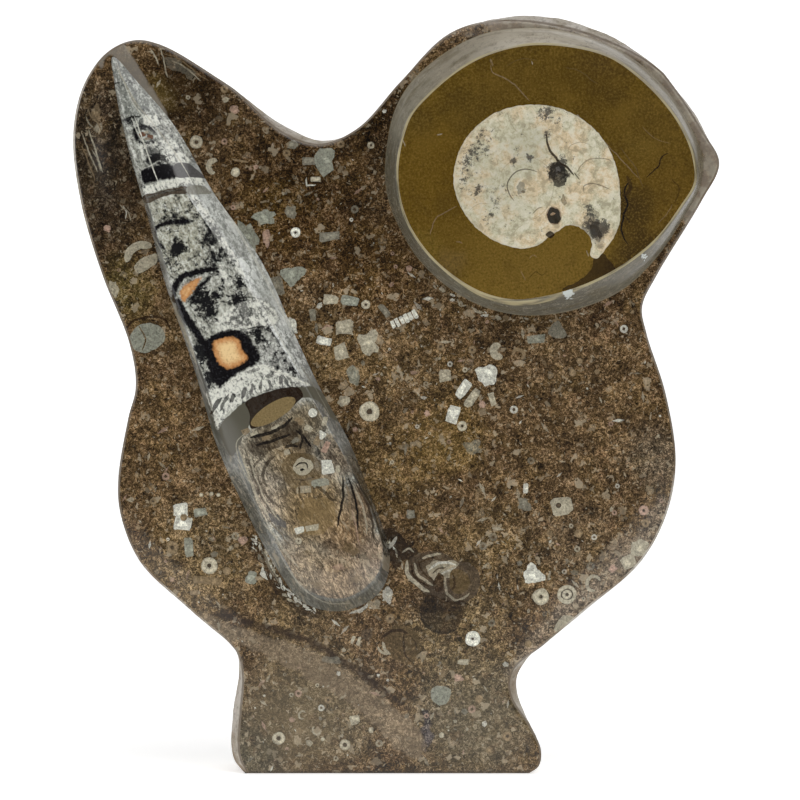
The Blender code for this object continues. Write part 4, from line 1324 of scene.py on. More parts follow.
disc = {
    "gridSpacing": 1.5,
    "ground": (90, 69, 18),
    "stains": [
        (57.8, 278.8, 36, (84, 64, 16), 1.5), (13.8, 236.8, 24, (94, 71, 16), 1.3),
        (57.8, 194.8, 40, (112, 89, 34), 1.8), (105.8, 228.8, 24, (92, 70, 22)),
        (105.8, 260.8, 20, (86, 66, 20)), (81.8, 270.8, 10.4, (70, 52, 14), 1.4),
        (97.8, 248.8, 8.8, (98, 78, 28), 1.2), (9.8, 208.8, 10.4, (104, 84, 30), 1.4),
        (5.8, 256.8, 10.4, (78, 60, 18), 1.2), (29.8, 264.8, 16, (80, 62, 18)),
        (92.6, 226.8, 9.6, (46, 33, 14), 3), (99.8, 212.8, 16, (56, 41, 16), 3),
        (87.8, 204, 8.8, (44, 31, 14), 3), (81.8, 284.8, 12, (72, 54, 22), 1.2),
        (21.8, 200.8, 9.6, (104, 84, 44), 1),
    ],
    "gloss": 0.22,
    "bump": 0.015,
}

coil = {
    "outline": [
        (68.2, 218), (64.2, 215.6), (60.6, 213.2), (57, 210.4), (51.4, 208.8), (45, 209.6), (37.4, 212.8),
        (30.6, 218.4), (25.4, 226), (23, 234.4), (23.8, 242.8), (27, 250.8), (32.6, 257.6), (40.2, 262.8),
        (48.6, 265.2), (57.4, 265.6), (65.8, 264), (73.8, 260), (80.6, 254), (85.4, 246.4), (88.2, 237.6),
        (89, 227.2), (88.6, 218.8), (85.8, 212), (82.6, 208), (79.8, 204.8), (77, 206), (77.8, 210.4),
        (76.2, 214.4), (72.6, 217.2),
    ],
    "greyer": [(37.8, 234.8, 30, 1), (53.8, 249.6, 15.2, 1.2)],
    "cream": (204, 199, 170),
    "rose": (218, 198, 162),
    "clay": (136, 126, 104),
    "gloom": [
        (59.8, 260.8, 8, 0.3), (66.6, 261.6, 6.4, 0.15), (33, 248.8, 10.4, 0.34), (30.6, 232, 6.4, 0.3),
        (64.2, 240, 6.8, 0.75), (46.6, 243.2, 2, 0.7), (53, 244.4, 2.4, 0.8), (48.2, 248, 1.6, 0.5),
        (78.6, 216.8, 6.8, 0.85), (77.4, 224, 3.6, 0.5), (41.8, 226.8, 12, 0.12), (61, 264, 2.8, 0.5),
        (41.8, 260.8, 8.8, 0.1), (43.8, 217.6, 1.6, 0.6), (59.8, 253.6, 2.8, 0.5), (27.8, 240.8, 7.2, 0.22),
        (35.8, 218.8, 9.6, 0.12), (84.2, 217.6, 2.8, 0.3),
    ],
}


coilLines = [  # septa and whorl lines: points, width, tone and strength
    ([(56.2, 239.2), (51.8, 240.2), (48.2, 239.4), (45.4, 236.8), (44.2, 233.6), (45, 230.4), (47, 227.6)],
        0.55, "dusk", 0.75),
    ([(40.6, 232.8), (43, 240.8), (50.2, 244.8), (58.2, 242.8), (62.2, 236.8), (61.4, 227.6), (56.2, 221.2),
        (48.2, 219.2)], 0.4, "tan", 0.3),
    ([(59.8, 254), (60.2, 250), (61.4, 247.2), (63.4, 244.8), (65, 242.4), (68, 240.8), (70.6, 237.6)],
        0.95, "umber", 0.9),
    ([(70.6, 238.8), (73, 236)], 0.5, "umber", 0.7),
    ([(71.8, 238.8), (73.4, 241.6), (75.8, 243.6), (79.4, 244.4), (83.8, 244), (85.8, 243)], 0.5, "brown",
        0.5),
    ([(74.2, 231.2), (74.6, 233.6), (77.8, 234.4), (81.6, 233.6), (85, 232)], 0.5, "dusk", 0.6),
    ([(68.2, 245.6), (69, 249.2), (72.6, 250.8), (77, 250)], 0.4, "tan", 0.45),
    ([(54.2, 222.4), (56.2, 224.4), (58.2, 225.2)], 0.5, "brown", 0.6),
    ([(28.2, 240.8), (31.4, 244.8), (35.8, 246.4)], 0.35, "tan", 0.35),
    ([(29, 223.6), (33, 226.4), (37.8, 226.4)], 0.35, "tan", 0.35),
    ([(46.6, 210.8), (47.4, 215.6), (50.6, 218.4)], 0.35, "tan", 0.35),
    ([(44.2, 262.8), (45.8, 258), (48.2, 254.8)], 0.35, "tan", 0.35),
]


mudMarks = [
    (patch, [(78.6, 205.6), (81.8, 206.8), (85.4, 203.2), (87, 200.4), (81.8, 197.6), (77, 194.8),
        (70.6, 192.8), (65.8, 192.4), (71.4, 195.6), (75.8, 198.4), (78.2, 202)], "umber", 0.75, 0.5),
]

coilMarks = [
    (lump, 49.8, 232.6, 3.6, 4.4, 0, "grey", 0.7),
    (lump, 50.6, 231.2, 1.4, 1, 0, "dusk", 0.8),
    (patch, [(61.4, 242), (64.6, 243.2), (66.6, 240.4), (68.6, 236.8), (66.6, 233.6), (63, 234),
        (60.6, 237.6)], "ink", 0.8, 1.6, 1),
    (patch, [(59.8, 223.6), (61.8, 225.2), (64.6, 224.4), (65.8, 222), (65, 218.8), (62.2, 218),
        (60.2, 220.4)], "rust", 0.6),
    (patch, [(60.2, 223.2), (62.2, 224.8), (64.6, 223.6), (65.4, 221.2), (63.8, 218.4), (61.4, 218.8)],
        "ink", 0.95, 0.8),
    (lump, 62.2, 222.4, 2, 1.2, 30, "rust", 0.6),
    (lump, 66.6, 227.6, 2, 4, 15, "brown", 0.6),
    (patch, [(59.4, 214.4), (61.4, 215.6), (63, 214.4), (61.4, 212.8)], "umber", 0.9, 0.2),
    (lump, 64.4, 240, 2, 2, 0, "slate", 0.7),
    (patch, [(75, 221.2), (77.8, 222.8), (80.6, 220.8), (82.2, 216), (82.6, 211.6), (80.2, 208.8),
        (78.6, 212), (76.2, 216)], "slate", 0.3, 1.4, 1),
    (patch, [(77.8, 220), (80.6, 218.4), (81.8, 214.4), (80.6, 211.2), (78.6, 213.6)], "ink", 0.6, 1.4,
        0.4),
]


mudLines = [  # cracks and threads in the mud
    ([(37.4, 281.6), (39, 278), (42.6, 276.4), (47, 273.6), (50.2, 270.4), (53, 267.2)], 0.5, "tan", 0.65),
    ([(81.8, 251.6), (87.4, 246), (91.4, 241.6), (96.2, 236.4)], 0.45, "tan", 0.6),
    ([(24.2, 225.6), (19.8, 223.2), (15.4, 220), (13.8, 214)], 0.45, "tan", 0.55),
    ([(37.4, 284), (38.6, 280.8)], 0.8, "tan", 0.5),
    ([(93.4, 236.4), (90.6, 231.6), (91.8, 226.8), (90.2, 221.6), (89.4, 216), (91.8, 210.4)], 0.8, "ink",
        0.85),
    ([(91.4, 237.6), (93, 232.8), (90.2, 229.2)], 1.4, "umber", 0.6),
    ([(99.4, 236.8), (102.2, 239.6), (104.2, 241.6), (105.4, 244.8), (107.8, 246.4)], 0.55, "ink", 0.8),
    ([(87, 223.6), (90.6, 222), (93, 218.4)], 0.5, "ink", 0.6),
    ([(53, 197.2), (55.4, 199.6), (57.8, 198), (59.8, 199.2)], 0.4, "umber", 0.5),
    ([(49.8, 200), (51.4, 196)], 0.4, "tan", 0.4),
    ([(53, 204.4), (54.6, 206), (56.2, 204.8)], 0.35, "tan", 0.5),
    ([(23.8, 211.6), (26.6, 210.8)], 0.6, "tan", 0.4),
    ([(89, 248.8), (94.6, 241.6), (97.8, 232.8)], 0.4, "brown", 0.7),
    ([(43.8, 280.8), (49.8, 284), (56.2, 283.2)], 0.3, "brown", 0.5),
    ([(97.8, 256.8), (102.6, 252.4), (109, 250.4)], 0.35, "tan", 0.35),
    ([(16.2, 253.6), (18.6, 254)], 0.5, "bone", 0.6),
    ([(71.8, 261.6), (73, 260.4)], 0.5, "bone", 0.5),
    ([(2.6, 252.8), (3.8, 249.2)], 0.4, "bone", 0.6),
    ([(53.8, 283.2), (54.2, 281.6)], 0.4, "bone", 0.6),
    ([(75.4, 208), (76.6, 205.6)], 0.4, "bone", 0.5),
    ([(67, 280.8), (73.8, 278.4), (80.2, 273.6)], 0.35, "brown", 0.6),
    ([(109, 236.8), (112.2, 232.8), (110.6, 226.8)], 0.4, "umber", 0.5),
    ([(103.8, 218.8), (107.4, 222.4), (109.8, 226.4)], 0.35, "tan", 0.45),
]


def discDepth(points):
    share = np.minimum(1, edgeDistance(discRim, points) / boss["domeWidth"])
    return bossDepth - boss["crown"] * (1 - (1 - share) ** 2)


def makeGoniatite():
    coilRing = curveThrough(coil["outline"], 0.6)
    coilRing = coilRing + 0.22 * np.stack([ruggedness(coilRing, 2, 1.6), ruggedness(coilRing, 8, 1.6)], 1)
    body = {"ring": coilRing, "tone": (0, 0, 0), "cover": 0}
    loose = staggeredGrid(discRim, disc["gridSpacing"], 0.6)
    inlays = laid(mudMarks) + threads(mudLines, 0.35) + [body] + threads(coilLines, 0.15) + laid(coilMarks)
    made = inlaidSheet("goniatite_disc", discRim, [], [], inlays, loose, discDepth)
    places = flatPlaces(made)
    pointValues(made, "ground", paintStains(places, disc["ground"], disc["stains"]))
    pointValues(made, "coil", np.clip(depthInside(coilRing, places), -3, 12))
    pointValues(made, "gloom", glooms(places, coil["gloom"], 0.16))
    pointValues(made, "greyer", spots(places, coil["greyer"]))
    made.data.materials.append(makeGoniatiteMaterial())
    print("goniatite:", len(made.data.polygons), "faces")
    return made


def makeGoniatiteMaterial():
    material, shader, place = startMaterial("oliveMudAndShell")
    ground = attribute("ground", "Color")
    fine = grain(place, 0.9, 4, 2, 0.7)
    cloud = grain(place, 13, 5, 9, 0.66)
    mud = veil(ground, fade(fine, 0.47, 0.66), 0.45, (136, 110, 50))
    mud = veil(mud, fade(fine, 0.48, 0.34), 0.5, (50, 36, 12))
    mud = veil(mud, fade(cloud, 0.48, 0.66), 0.32, (112, 88, 32))
    mud = veil(mud, fade(cloud, 0.5, 0.34), 0.32, (66, 49, 14))
    frost = useGroup(calciteFrost, Vector=place, Size=1.5, Gloom=attribute("gloom"))
    warm = fade(grain(place, 10, 3, 17), 0.42, 0.6)
    shell_ = blend(warm, coil["cream"], coil["rose"])
    mottle = grain(warped(place, 3, 3), 3, 6, 33, 0.7)
    shell_ = veil(shell_, fade(mottle, 0.51, 0.38), 0.55, coil["clay"])
    shell_ = veil(shell_, fade(mottle, 0.49, 0.6), 0.65, (230, 224, 204))
    shell_ = veil(shell_, fade(frost["Cloud"], 0.5, 0.38), 0.2, (120, 110, 90))
    greyer = times(attribute("greyer"), fade(mottle, 0.4, 0.56))
    shell_ = veil(shell_, greyer, 0.3, (160, 160, 146))
    shell_ = veil(shell_, frost["Dark"], 0.85, (48, 46, 46))
    inCoil = attribute("coil")
    shell_ = veil(shell_, fade(inCoil, 1.1, 0.25), 0.35, (204, 196, 172))
    tint = blend(fade(inCoil, -0.08, 0.1), mud, shell_)
    tint = inlaidColour(tint, place)
    gloss = useGroup(polish, Vector=place, Gloss=disc["gloss"], Wear=0.12)
    wire(shader, tint, gloss["Roughness"], fine, disc["bump"])
    return material


# The orthoceras: a straight chambered shell, cut lengthwise and polished to a low ridge

calcite = {
    "gridSpacing": 0.75,
    "axis": [(-113.4, 288), (-4.2, 84.8)],
    "zones": {  # distance from the tip, length of the change, least value
        "living": (156, 6, 0),
        "bevelled": (50, 8, 0),
        "crystals": (22, 12, 0.75),
    },
    "ground": (150, 150, 140),
    "stains": [
        (-111, 276.8, 16, (112, 114, 108), 1.6), (-103, 264, 10.4, (108, 112, 106), 1.2),
        (-98.2, 252.8, 7.2, (120, 124, 116), 1), (-86.2, 224, 13.6, (176, 174, 154), 1.2),
        (-84.2, 208.8, 13.6, (170, 168, 146), 1.2), (-64.2, 181.6, 20, (184, 184, 170), 1.2),
        (-44.2, 166.8, 18, (156, 156, 150), 1.2), (-60.2, 144.8, 16, (190, 190, 176), 0.8),
        (-58.2, 126.8, 12, (150, 140, 120), 3), (-53.4, 110.8, 12.8, (154, 140, 120), 3),
        (-51, 134.4, 10.4, (110, 96, 72), 4), (-36.2, 140, 10.4, (124, 110, 84), 3),
        (-42.2, 126.8, 12, (122, 102, 70), 3), (-33.4, 106.8, 16.8, (140, 116, 78), 4),
        (-20.2, 96.8, 13.6, (122, 96, 64), 4), (-22.2, 126.8, 10.4, (112, 98, 80), 3),
        (-12.2, 108.8, 9.6, (122, 100, 74), 3), (-38.2, 82.8, 13.6, (142, 123, 96), 4),
        (-22.2, 76, 14.4, (142, 120, 92), 5), (-9.4, 84.8, 12, (150, 130, 108), 4),
    ],
    "bevel": (128, 128, 122),
    # The bevel stains paint light and shade over the bevel's grey tone: the upper right flank is lighter,
    # and the left flank and lower right end are darker.
    "bevelStainsAndShading": [
        (-98.2, 270.8, 14.4, (112, 112, 108), 1.2), (-84.2, 248.8, 16, (122, 124, 122), 1.2),
        (-68.2, 220.8, 17.6, (170, 172, 164), 1.4), (-54.2, 194.8, 17.6, (166, 168, 160), 1.4),
        (-36.2, 168.8, 14.4, (126, 128, 124), 1.2), (-26.2, 144.8, 14.4, (100, 98, 92), 1.3),
        (-12.2, 116.8, 17.6, (68, 56, 36), 2), (-2.2, 90.8, 16, (42, 34, 20), 3),
        (-18.2, 65.6, 20, (88, 84, 70), 1.4), (-42.2, 72.8, 17.6, (94, 92, 82), 1.4),
        (-60.2, 104.8, 17.6, (72, 70, 58), 1.8), (-72.2, 136.8, 16, (68, 67, 56), 1.8),
        (-80.2, 164.8, 13.6, (112, 112, 106), 1.2), (-90.2, 192.8, 14.4, (96, 96, 90), 1.2),
        (-100.2, 224.8, 14.4, (92, 92, 86), 1.2), (-108.2, 252.8, 14.4, (96, 98, 92), 1.2),
    ],
    "gloom": [
        (-111, 276.8, 17.6, -0.12), (-102.2, 260, 6.4, 0.15), (-98.2, 248, 4.8, 0.1),
        (-95, 245.6, 5.6, 0.42), (-87, 225.6, 9.6, 0.2), (-85.4, 209.6, 4.8, 0.62),
        (-73.4, 215.6, 6.4, 0.4), (-91, 204, 7.2, 0.22), (-73, 205.6, 8, 0.22), (-75, 187.6, 7.2, 0.55),
        (-62.2, 192.8, 8.8, 0.28), (-58.2, 181.6, 12, 0.14), (-72.6, 181.6, 4, 0.35),
        (-51, 170.8, 11.2, 0.14), (-41.4, 160, 10.4, 0.18), (-73.4, 156.8, 4.8, 0.6),
        (-76.2, 168.8, 4.8, 0.55), (-55, 176, 4, 0.2), (-50.2, 138.8, 9.6, 0.3), (-33.4, 132.8, 11.2, 0.3),
        (-41.4, 128, 6.4, 0.2), (-38.2, 104.8, 20, -0.2), (-12.2, 106.8, 8.8, 0.15),
        (-24.2, 76.8, 20, -0.3),
    ],
    # Painted sheen: where the right bevel shows a reflection of light from the upper right.
    "paintedSheen": [
        (-84.2, 242.8, 12, 0.5), (-72.2, 222.8, 20, 1), (-58.2, 200.8, 20, 1), (-44.2, 176.8, 18, 1),
        (-38.2, 162.8, 10.4, 0.7), (-88.2, 192.8, 10.4, 0.4), (-78.2, 168.8, 12, 0.5),
    ],
    "gloss": 0.16,
    "bump": 0.012,
}


shellBands = {  # soft-edged forms in the shell
    "ink": [
        [(-101, 239.6), (-95.8, 241.6), (-89, 242.4), (-87, 237.6), (-93.8, 236), (-99.8, 234.8)],
        ribbon([(-103.4, 256.4), (-99.8, 257.4), (-96.2, 256.4), (-95, 254.4)], 1.6),
        ribbon([(-102.2, 251.4), (-98.6, 251), (-95, 252)], 1.4),
        ribbon([(-103.8, 257.2), (-103.4, 254), (-102.2, 251.6)], 1.8),
        ribbon([(-107.4, 260.4), (-104.6, 261), (-101.4, 261.6)], 0.9),
        ribbon([(-95.8, 216), (-93.4, 218), (-89.8, 219.2), (-85.8, 219.8), (-80.2, 219.6)], 1.9),
        ribbon([(-95.4, 216.8), (-95, 213.6), (-93.4, 209.6)], 0.9),
        ribbon([(-94.6, 212.8), (-91.8, 208.8), (-90.2, 204), (-88.2, 198.8)], 0.6),
        ribbon([(-88.2, 187.2), (-87.4, 193.6), (-84.6, 197.6), (-79, 199.4), (-73, 200.6), (-69.4, 199.2)],
            2.6),
        ribbon([(-81, 187.2), (-77.4, 193.6), (-73, 198)], 1.8),
        [(-87.8, 189.2), (-85.4, 188.8), (-83, 184.8), (-79.8, 179.6), (-75.8, 173.6), (-74.6, 169.6),
            (-77.4, 170.8), (-80.2, 174.8), (-83.4, 178.8), (-85.8, 183.6)],
        [(-75, 172.4), (-71.4, 175.2), (-67, 176.4), (-61.8, 176.4), (-58.2, 173.6), (-55, 168.8), (-53.4,
            165.2), (-58.2, 161.6), (-63.8, 158.4), (-69, 154.8), (-71.4, 159.2), (-74.6, 164.4), (-76.2,
            169.2)],
        ribbon([(-74.6, 164.8), (-71.4, 159.2), (-69, 153.6)], 3.4),
    ],
    "chalk": [
        [(-100.2, 261.6), (-97.4, 262.4), (-94.2, 261.8), (-93.4, 258.8), (-96.6, 257.6), (-99, 257.2)],
        [(-101, 250.4), (-98.2, 251.6), (-94.2, 252), (-89, 252), (-86.2, 249.2), (-89.4, 248), (-93,
            247.2), (-97.4, 246.4), (-100.6, 246)],
        [(-91.8, 246.4), (-87.8, 247.6), (-83.8, 246.4), (-81.8, 244), (-84.6, 242.4), (-89.4, 243.6)],
        [(-101.8, 232.8), (-98.2, 234), (-94.2, 235.2), (-91, 236.4), (-85.4, 237.2), (-77.4, 237.2),
            (-75.8, 234.4), (-82.2, 234.4), (-88.2, 233.2), (-94.2, 231.6), (-101, 229.6)],
        ribbon([(-81.4, 231.2), (-75.8, 223.2), (-69.4, 212.8), (-63.8, 204), (-59.8, 196.8)], 2.6),
        [(-67, 184), (-62.2, 187.2), (-55, 188.8), (-50.2, 186.8), (-46.6, 181.6), (-48.6, 178.4), (-55,
            177.6), (-59.8, 175.2), (-65.4, 174.4), (-69.4, 176), (-71, 179.2)],
        [(-75, 152), (-71, 154.4), (-67, 157.2), (-62.2, 160), (-57.4, 162), (-52.2, 162.8), (-47.8, 161.6),
            (-44.6, 160), (-39.4, 157.6), (-33.8, 154.4), (-39.8, 154), (-46.2, 154), (-51.8, 152.8),
            (-56.6, 150.4), (-61.4, 147.6), (-65.8, 144.4), (-68.6, 140.8), (-70.6, 137.2), (-72.6, 143.6)],
        [(-69.8, 202.4), (-66.6, 198.4), (-63.8, 195.2), (-66.2, 194.4), (-69.4, 198.4)],
    ],
    "amber": [
        [(-85.4, 191.2), (-83.8, 194), (-80.6, 196), (-77, 197.4), (-79, 193.6), (-81.8, 190), (-83.8,
            187.6)],
        [(-72.2, 171.6), (-69, 173.2), (-65.4, 173.8), (-61.8, 172.4), (-61, 168.8), (-58.6, 165.6), (-61.8,
            162.8), (-66.6, 161.2), (-70.2, 163.6), (-71.8, 167.6)],
    ],
    "slate": [
        [(-69.8, 138.4), (-65.4, 143.2), (-59.8, 147.6), (-57.8, 144.8), (-57.8, 139.2), (-59.8, 135.6),
            (-62.2, 130.4), (-65, 126.4), (-67.8, 130.4)],
        [(-39.4, 153.6), (-33.8, 154.4), (-29.4, 152), (-25.4, 146.4), (-22.2, 140), (-25.4, 141.6), (-29.4,
            147.2), (-33.4, 149.6), (-37.4, 150)],
    ],
}


shellFossils = [
    (patch, [(-59.4, 148), (-55, 150.4), (-49.4, 152.4), (-43, 153.8), (-38.2, 153.6), (-36.6, 150.4),
        (-39, 148), (-43.8, 144), (-51.8, 139.2), (-57.4, 137.6), (-57.8, 143.2)], "umber", 0.97, 0.2,
        -0.6),
    (plug, -48.3, 144.2, 20.4, 6.8, 31, "gold"),
    (patch, [(-100.6, 229.6), (-94.2, 231.4), (-87.8, 232.8), (-82.6, 233.4), (-82.6, 230.8),
        (-87.8, 230.4), (-94.2, 228.6), (-99, 226.8)], "dusk", 0.95, 0.3),
    (stroke, [(-99.8, 228.8), (-91.8, 231.2), (-83, 232.6)], 0.8, "umber", 0.8),
    (plate, -100.6, 254.2, 2.4, 2, 20, "rust", 0.9),
    (plate, -97.4, 253.4, 2.4, 1.6, -10, "rust", 0.9),
    (plate, -99, 255.2, 1.6, 1, 10, "bone", 0.8),
    (plate, -98.6, 252.6, 2, 0.8, 5, "tan", 0.8),
    (lump, -94.2, 244.8, 6.4, 2, 12, "ink", 0.8),
    (patch, [(-87.8, 242.4), (-83.4, 243.2), (-79.8, 241.2), (-75.8, 237.2), (-79.8, 237.4),
        (-87.4, 237.6)], "slate", 0.95, 0.2, -0.5),
    (patch, [(-82.6, 233.4), (-76.2, 233.8), (-73.4, 231.2), (-78.2, 230.4), (-82.6, 230.6)], "grey", 0.75,
        0.2, -0.3),
    # Dark teeth in the last white septum.
    (lump, -71.4, 146, 6.8, 2, 60, "ink", 0.85),
    (lump, -67.8, 148, 6, 1.6, 62, "ink", 0.75),
    (lump, -64.6, 149.6, 4.8, 1.6, 66, "ink", 0.8),
    (lump, -60.2, 151.6, 4.8, 1.4, 72, "slate", 0.85),
    (lump, -57, 153.2, 4.8, 1.2, 80, "slate", 0.8),
    (lump, -53.4, 154.4, 4.8, 1.4, 88, "ink", 0.7),
    (lump, -49.8, 155.2, 4.4, 1.2, 95, "slate", 0.8),
    (lump, -45.4, 156.4, 4.4, 1.4, 105, "slate", 0.85),
    (lump, -41.4, 156, 4, 1.4, 115, "ink", 0.6),
    # Broken shell in the living chamber.
    (plate, -59.4, 136.4, 3.2, 2.4, 25, "tan", 0.8),
    (plate, -55.8, 135.2, 3.2, 2.4, 20, "bone", 0.8),
    (plate, -51.4, 134, 3.6, 2, 15, "tan", 0.8),
    (plate, -47.4, 137.6, 4, 2.4, 30, "bone", 0.85),
    (plate, -43, 138.8, 3.2, 2.4, 10, "tan", 0.8),
    (lump, -38.2, 140.4, 4, 2.8, -10, "tan", 0.8),
    (plate, -34.6, 137.6, 3.2, 2.4, -30, "bone", 0.85),
    (plate, -31, 132.8, 2.4, 3.6, -20, "tan", 0.75),
    (lump, -39.8, 132.8, 3.6, 2, 10, "grey", 0.8),
    (lump, -45, 132.4, 3.2, 1.6, 0, "tan", 0.7),
    (lump, -37, 128.4, 2.8, 2, 0, "tan", 0.7),
    (plate, -43, 128, 2.4, 2, 20, "bone", 0.7),
    (patch, [(-58.2, 131.2), (-53.4, 132.8), (-47, 136), (-41.4, 140.8), (-38.2, 138.4), (-39, 134.4),
        (-43.8, 131.2), (-50.2, 128), (-55.8, 126.4)], "umber", 0.55, 1.4, 0.5),
    (stroke, [(-57.8, 133.6), (-53.4, 134.8), (-48.2, 136.4), (-44.2, 138.8), (-41, 142)], 1.4, "ink", 0.9),
    (stroke, [(-55.4, 130.8), (-51, 132), (-47, 133.2), (-41.8, 135.2)], 1.2, "ink", 0.92),
    (stroke, [(-39.8, 136.8), (-36.2, 134), (-33.4, 130)], 1, "ink", 0.92),
    (stroke, [(-44.2, 130), (-41.4, 130.8), (-38.6, 130.4)], 1.2, "ink", 0.8),
    (stroke, [(-53.4, 125.6), (-55.8, 123.2), (-57, 119.2)], 1, "umber", 0.7),
    (stroke, [(-38.2, 137.6), (-37, 133.6), (-37.8, 129.6)], 1, "ink", 0.8),
    (lump, -31, 128, 3.6, 2.4, 30, "ink", 0.7),
    (stroke, [(-51.8, 128), (-49.4, 129.6), (-45.8, 130.4)], 1, "umber", 0.7),
    (patch, [(-45, 124), (-41.8, 126.8), (-37.8, 128), (-33.4, 127.2), (-30.2, 124.8), (-29, 120.4),
        (-31, 116), (-35.8, 112.8), (-40.6, 113.6), (-44.2, 118)], "brown", 0.6, 0.5),
    (stroke, [(-47.8, 126.4), (-51, 123.6), (-52.6, 118.8), (-51, 114)], 1.2, "umber", 0.7),
    (patch, [(-37, 109.2), (-31.8, 110), (-25.8, 108.8), (-23, 104.8), (-23.4, 100), (-28.2, 96),
        (-33.8, 95.6), (-37.8, 98.4), (-38.2, 104.4)], "silt", 0.5, 1.4, 0.4),
    (ossicle, -32.8, 143.7, 1.8, "bright", 1, 0),
    (plate, -28, 140.4, 1.8, 3.6, -12, "bone", 0.9),
    (lump, -28.8, 135.2, 2.8, 3.2, 0, "bright", 0.95),
    (plate, -27.6, 130, 2.4, 4.8, -25, "blush", 0.95),
    (plate, -27, 122, 4.8, 5.6, 4, "bright", 0.95),
    (plate, -22.8, 121.6, 1.6, 2.8, 0, "bone", 0.9),
    (patch, [(-40.2, 124), (-37, 126), (-33.4, 124.8), (-32.6, 122), (-35, 119.2), (-38.6, 119.2),
        (-40.6, 121.6)], "bone", 0.85, 0.6),
    (stroke, [(-39.8, 122.4), (-37.8, 124), (-35.4, 123.6), (-34.6, 121.6)], 0.6, "ink", 0.9),
    (lump, -37, 121.2, 1.6, 1.2, 20, "ink", 0.9),
    (stroke, [(-39.8, 117.6), (-35.8, 117.2), (-31.8, 118.4)], 0.8, "umber", 0.6),
    (plate, -29.8, 116, 6.8, 3.2, 6, "glass", 0.85),
    (plate, -36.2, 113.2, 5.6, 3.2, 4, "bone", 0.55),
    (plate, -38, 97.2, 3.6, 2.4, 15, "bright", 0.95),
    (plate, -33, 98.2, 5.2, 2.4, 12, "bone", 0.9),
    (ossicle, -38.4, 93, 1.3, "bone", 0.8),
    (lump, -47, 101.2, 7.2, 3.6, -30, "slate", 0.8),
    (stroke, [(-21, 118.4), (-20.6, 112), (-21.8, 105.6), (-23, 98.4)], 1, "ink", 0.92),
    (stroke, [(-19.4, 115.6), (-18.2, 108.8), (-18.2, 100.8), (-19.8, 93.6)], 1, "tan", 0.6),
    (stroke, [(-18.6, 117.6), (-16.2, 110.4), (-15, 102.8), (-15.4, 96)], 0.9, "ink", 0.92),
    (stroke, [(-17, 115.2), (-13.8, 108.8), (-11.8, 101.6), (-11.4, 95.2)], 0.8, "bone", 0.55),
    (stroke, [(-16.2, 116), (-12.2, 109.2), (-9.4, 101.6), (-8.6, 92.8)], 0.9, "umber", 0.8),
    (stroke, [(-17.8, 120.8), (-13.4, 113.6), (-9.8, 107.2), (-7, 99.2)], 0.8, "ink", 0.6),
    (stroke, [(-17.4, 105.6), (-15.8, 99.2), (-14.2, 90.8)], 0.6, "blush", 0.5),
    (stroke, [(-31.8, 114.4), (-28.6, 112.8), (-25.8, 109.6), (-23, 108.8)], 1.2, "ink", 0.65),
    (stroke, [(-37.4, 117.6), (-38.2, 112), (-35.8, 107.2)], 0.8, "umber", 0.6),
    (lump, -26.2, 91.6, 8.8, 3.6, -10, "umber", 0.5),
    (lump, -17.4, 89.6, 7.2, 4.8, -30, "brown", 0.6),
    (lump, -13, 86.8, 4.8, 2.4, -20, "ink", 0.45),
    (lump, -36.6, 87.6, 5.6, 3.2, 20, "brown", 0.5),
    (lump, -22.2, 82.4, 5.2, 2.8, 5, "blush", 0.45),
    (lump, -31, 75.6, 6.4, 2.8, -15, "tan", 0.5),
    (lump, -15.8, 77.6, 5.6, 2.8, 20, "tan", 0.5),
    (stroke, [(-62.2, 130), (-59.8, 124), (-57.4, 116.8), (-54.2, 108.8), (-50.2, 102.8)], 1, "bone", 0.6),
    (stroke, [(-57.4, 128), (-56.6, 121.6), (-54.2, 114.4), (-51, 107.6), (-45.8, 100.8)], 1, "bone", 0.6),
    (stroke, [(-59.8, 130.4), (-58.2, 124.8), (-55.8, 117.6), (-52.6, 109.6), (-47.8, 102.4)], 0.8, "umber",
        0.6),
    (stroke, [(-55, 124), (-54.2, 117.6), (-51, 111.2), (-45.4, 105.6)], 0.8, "umber", 0.6),
    (stroke, [(-52.6, 100.8), (-47.8, 94.4), (-43.4, 88), (-38.2, 82.4)], 1, "bone", 0.45),
    (stroke, [(-50.2, 101.6), (-45, 95.2), (-41.4, 90.4)], 0.6, "brown", 0.6),
]


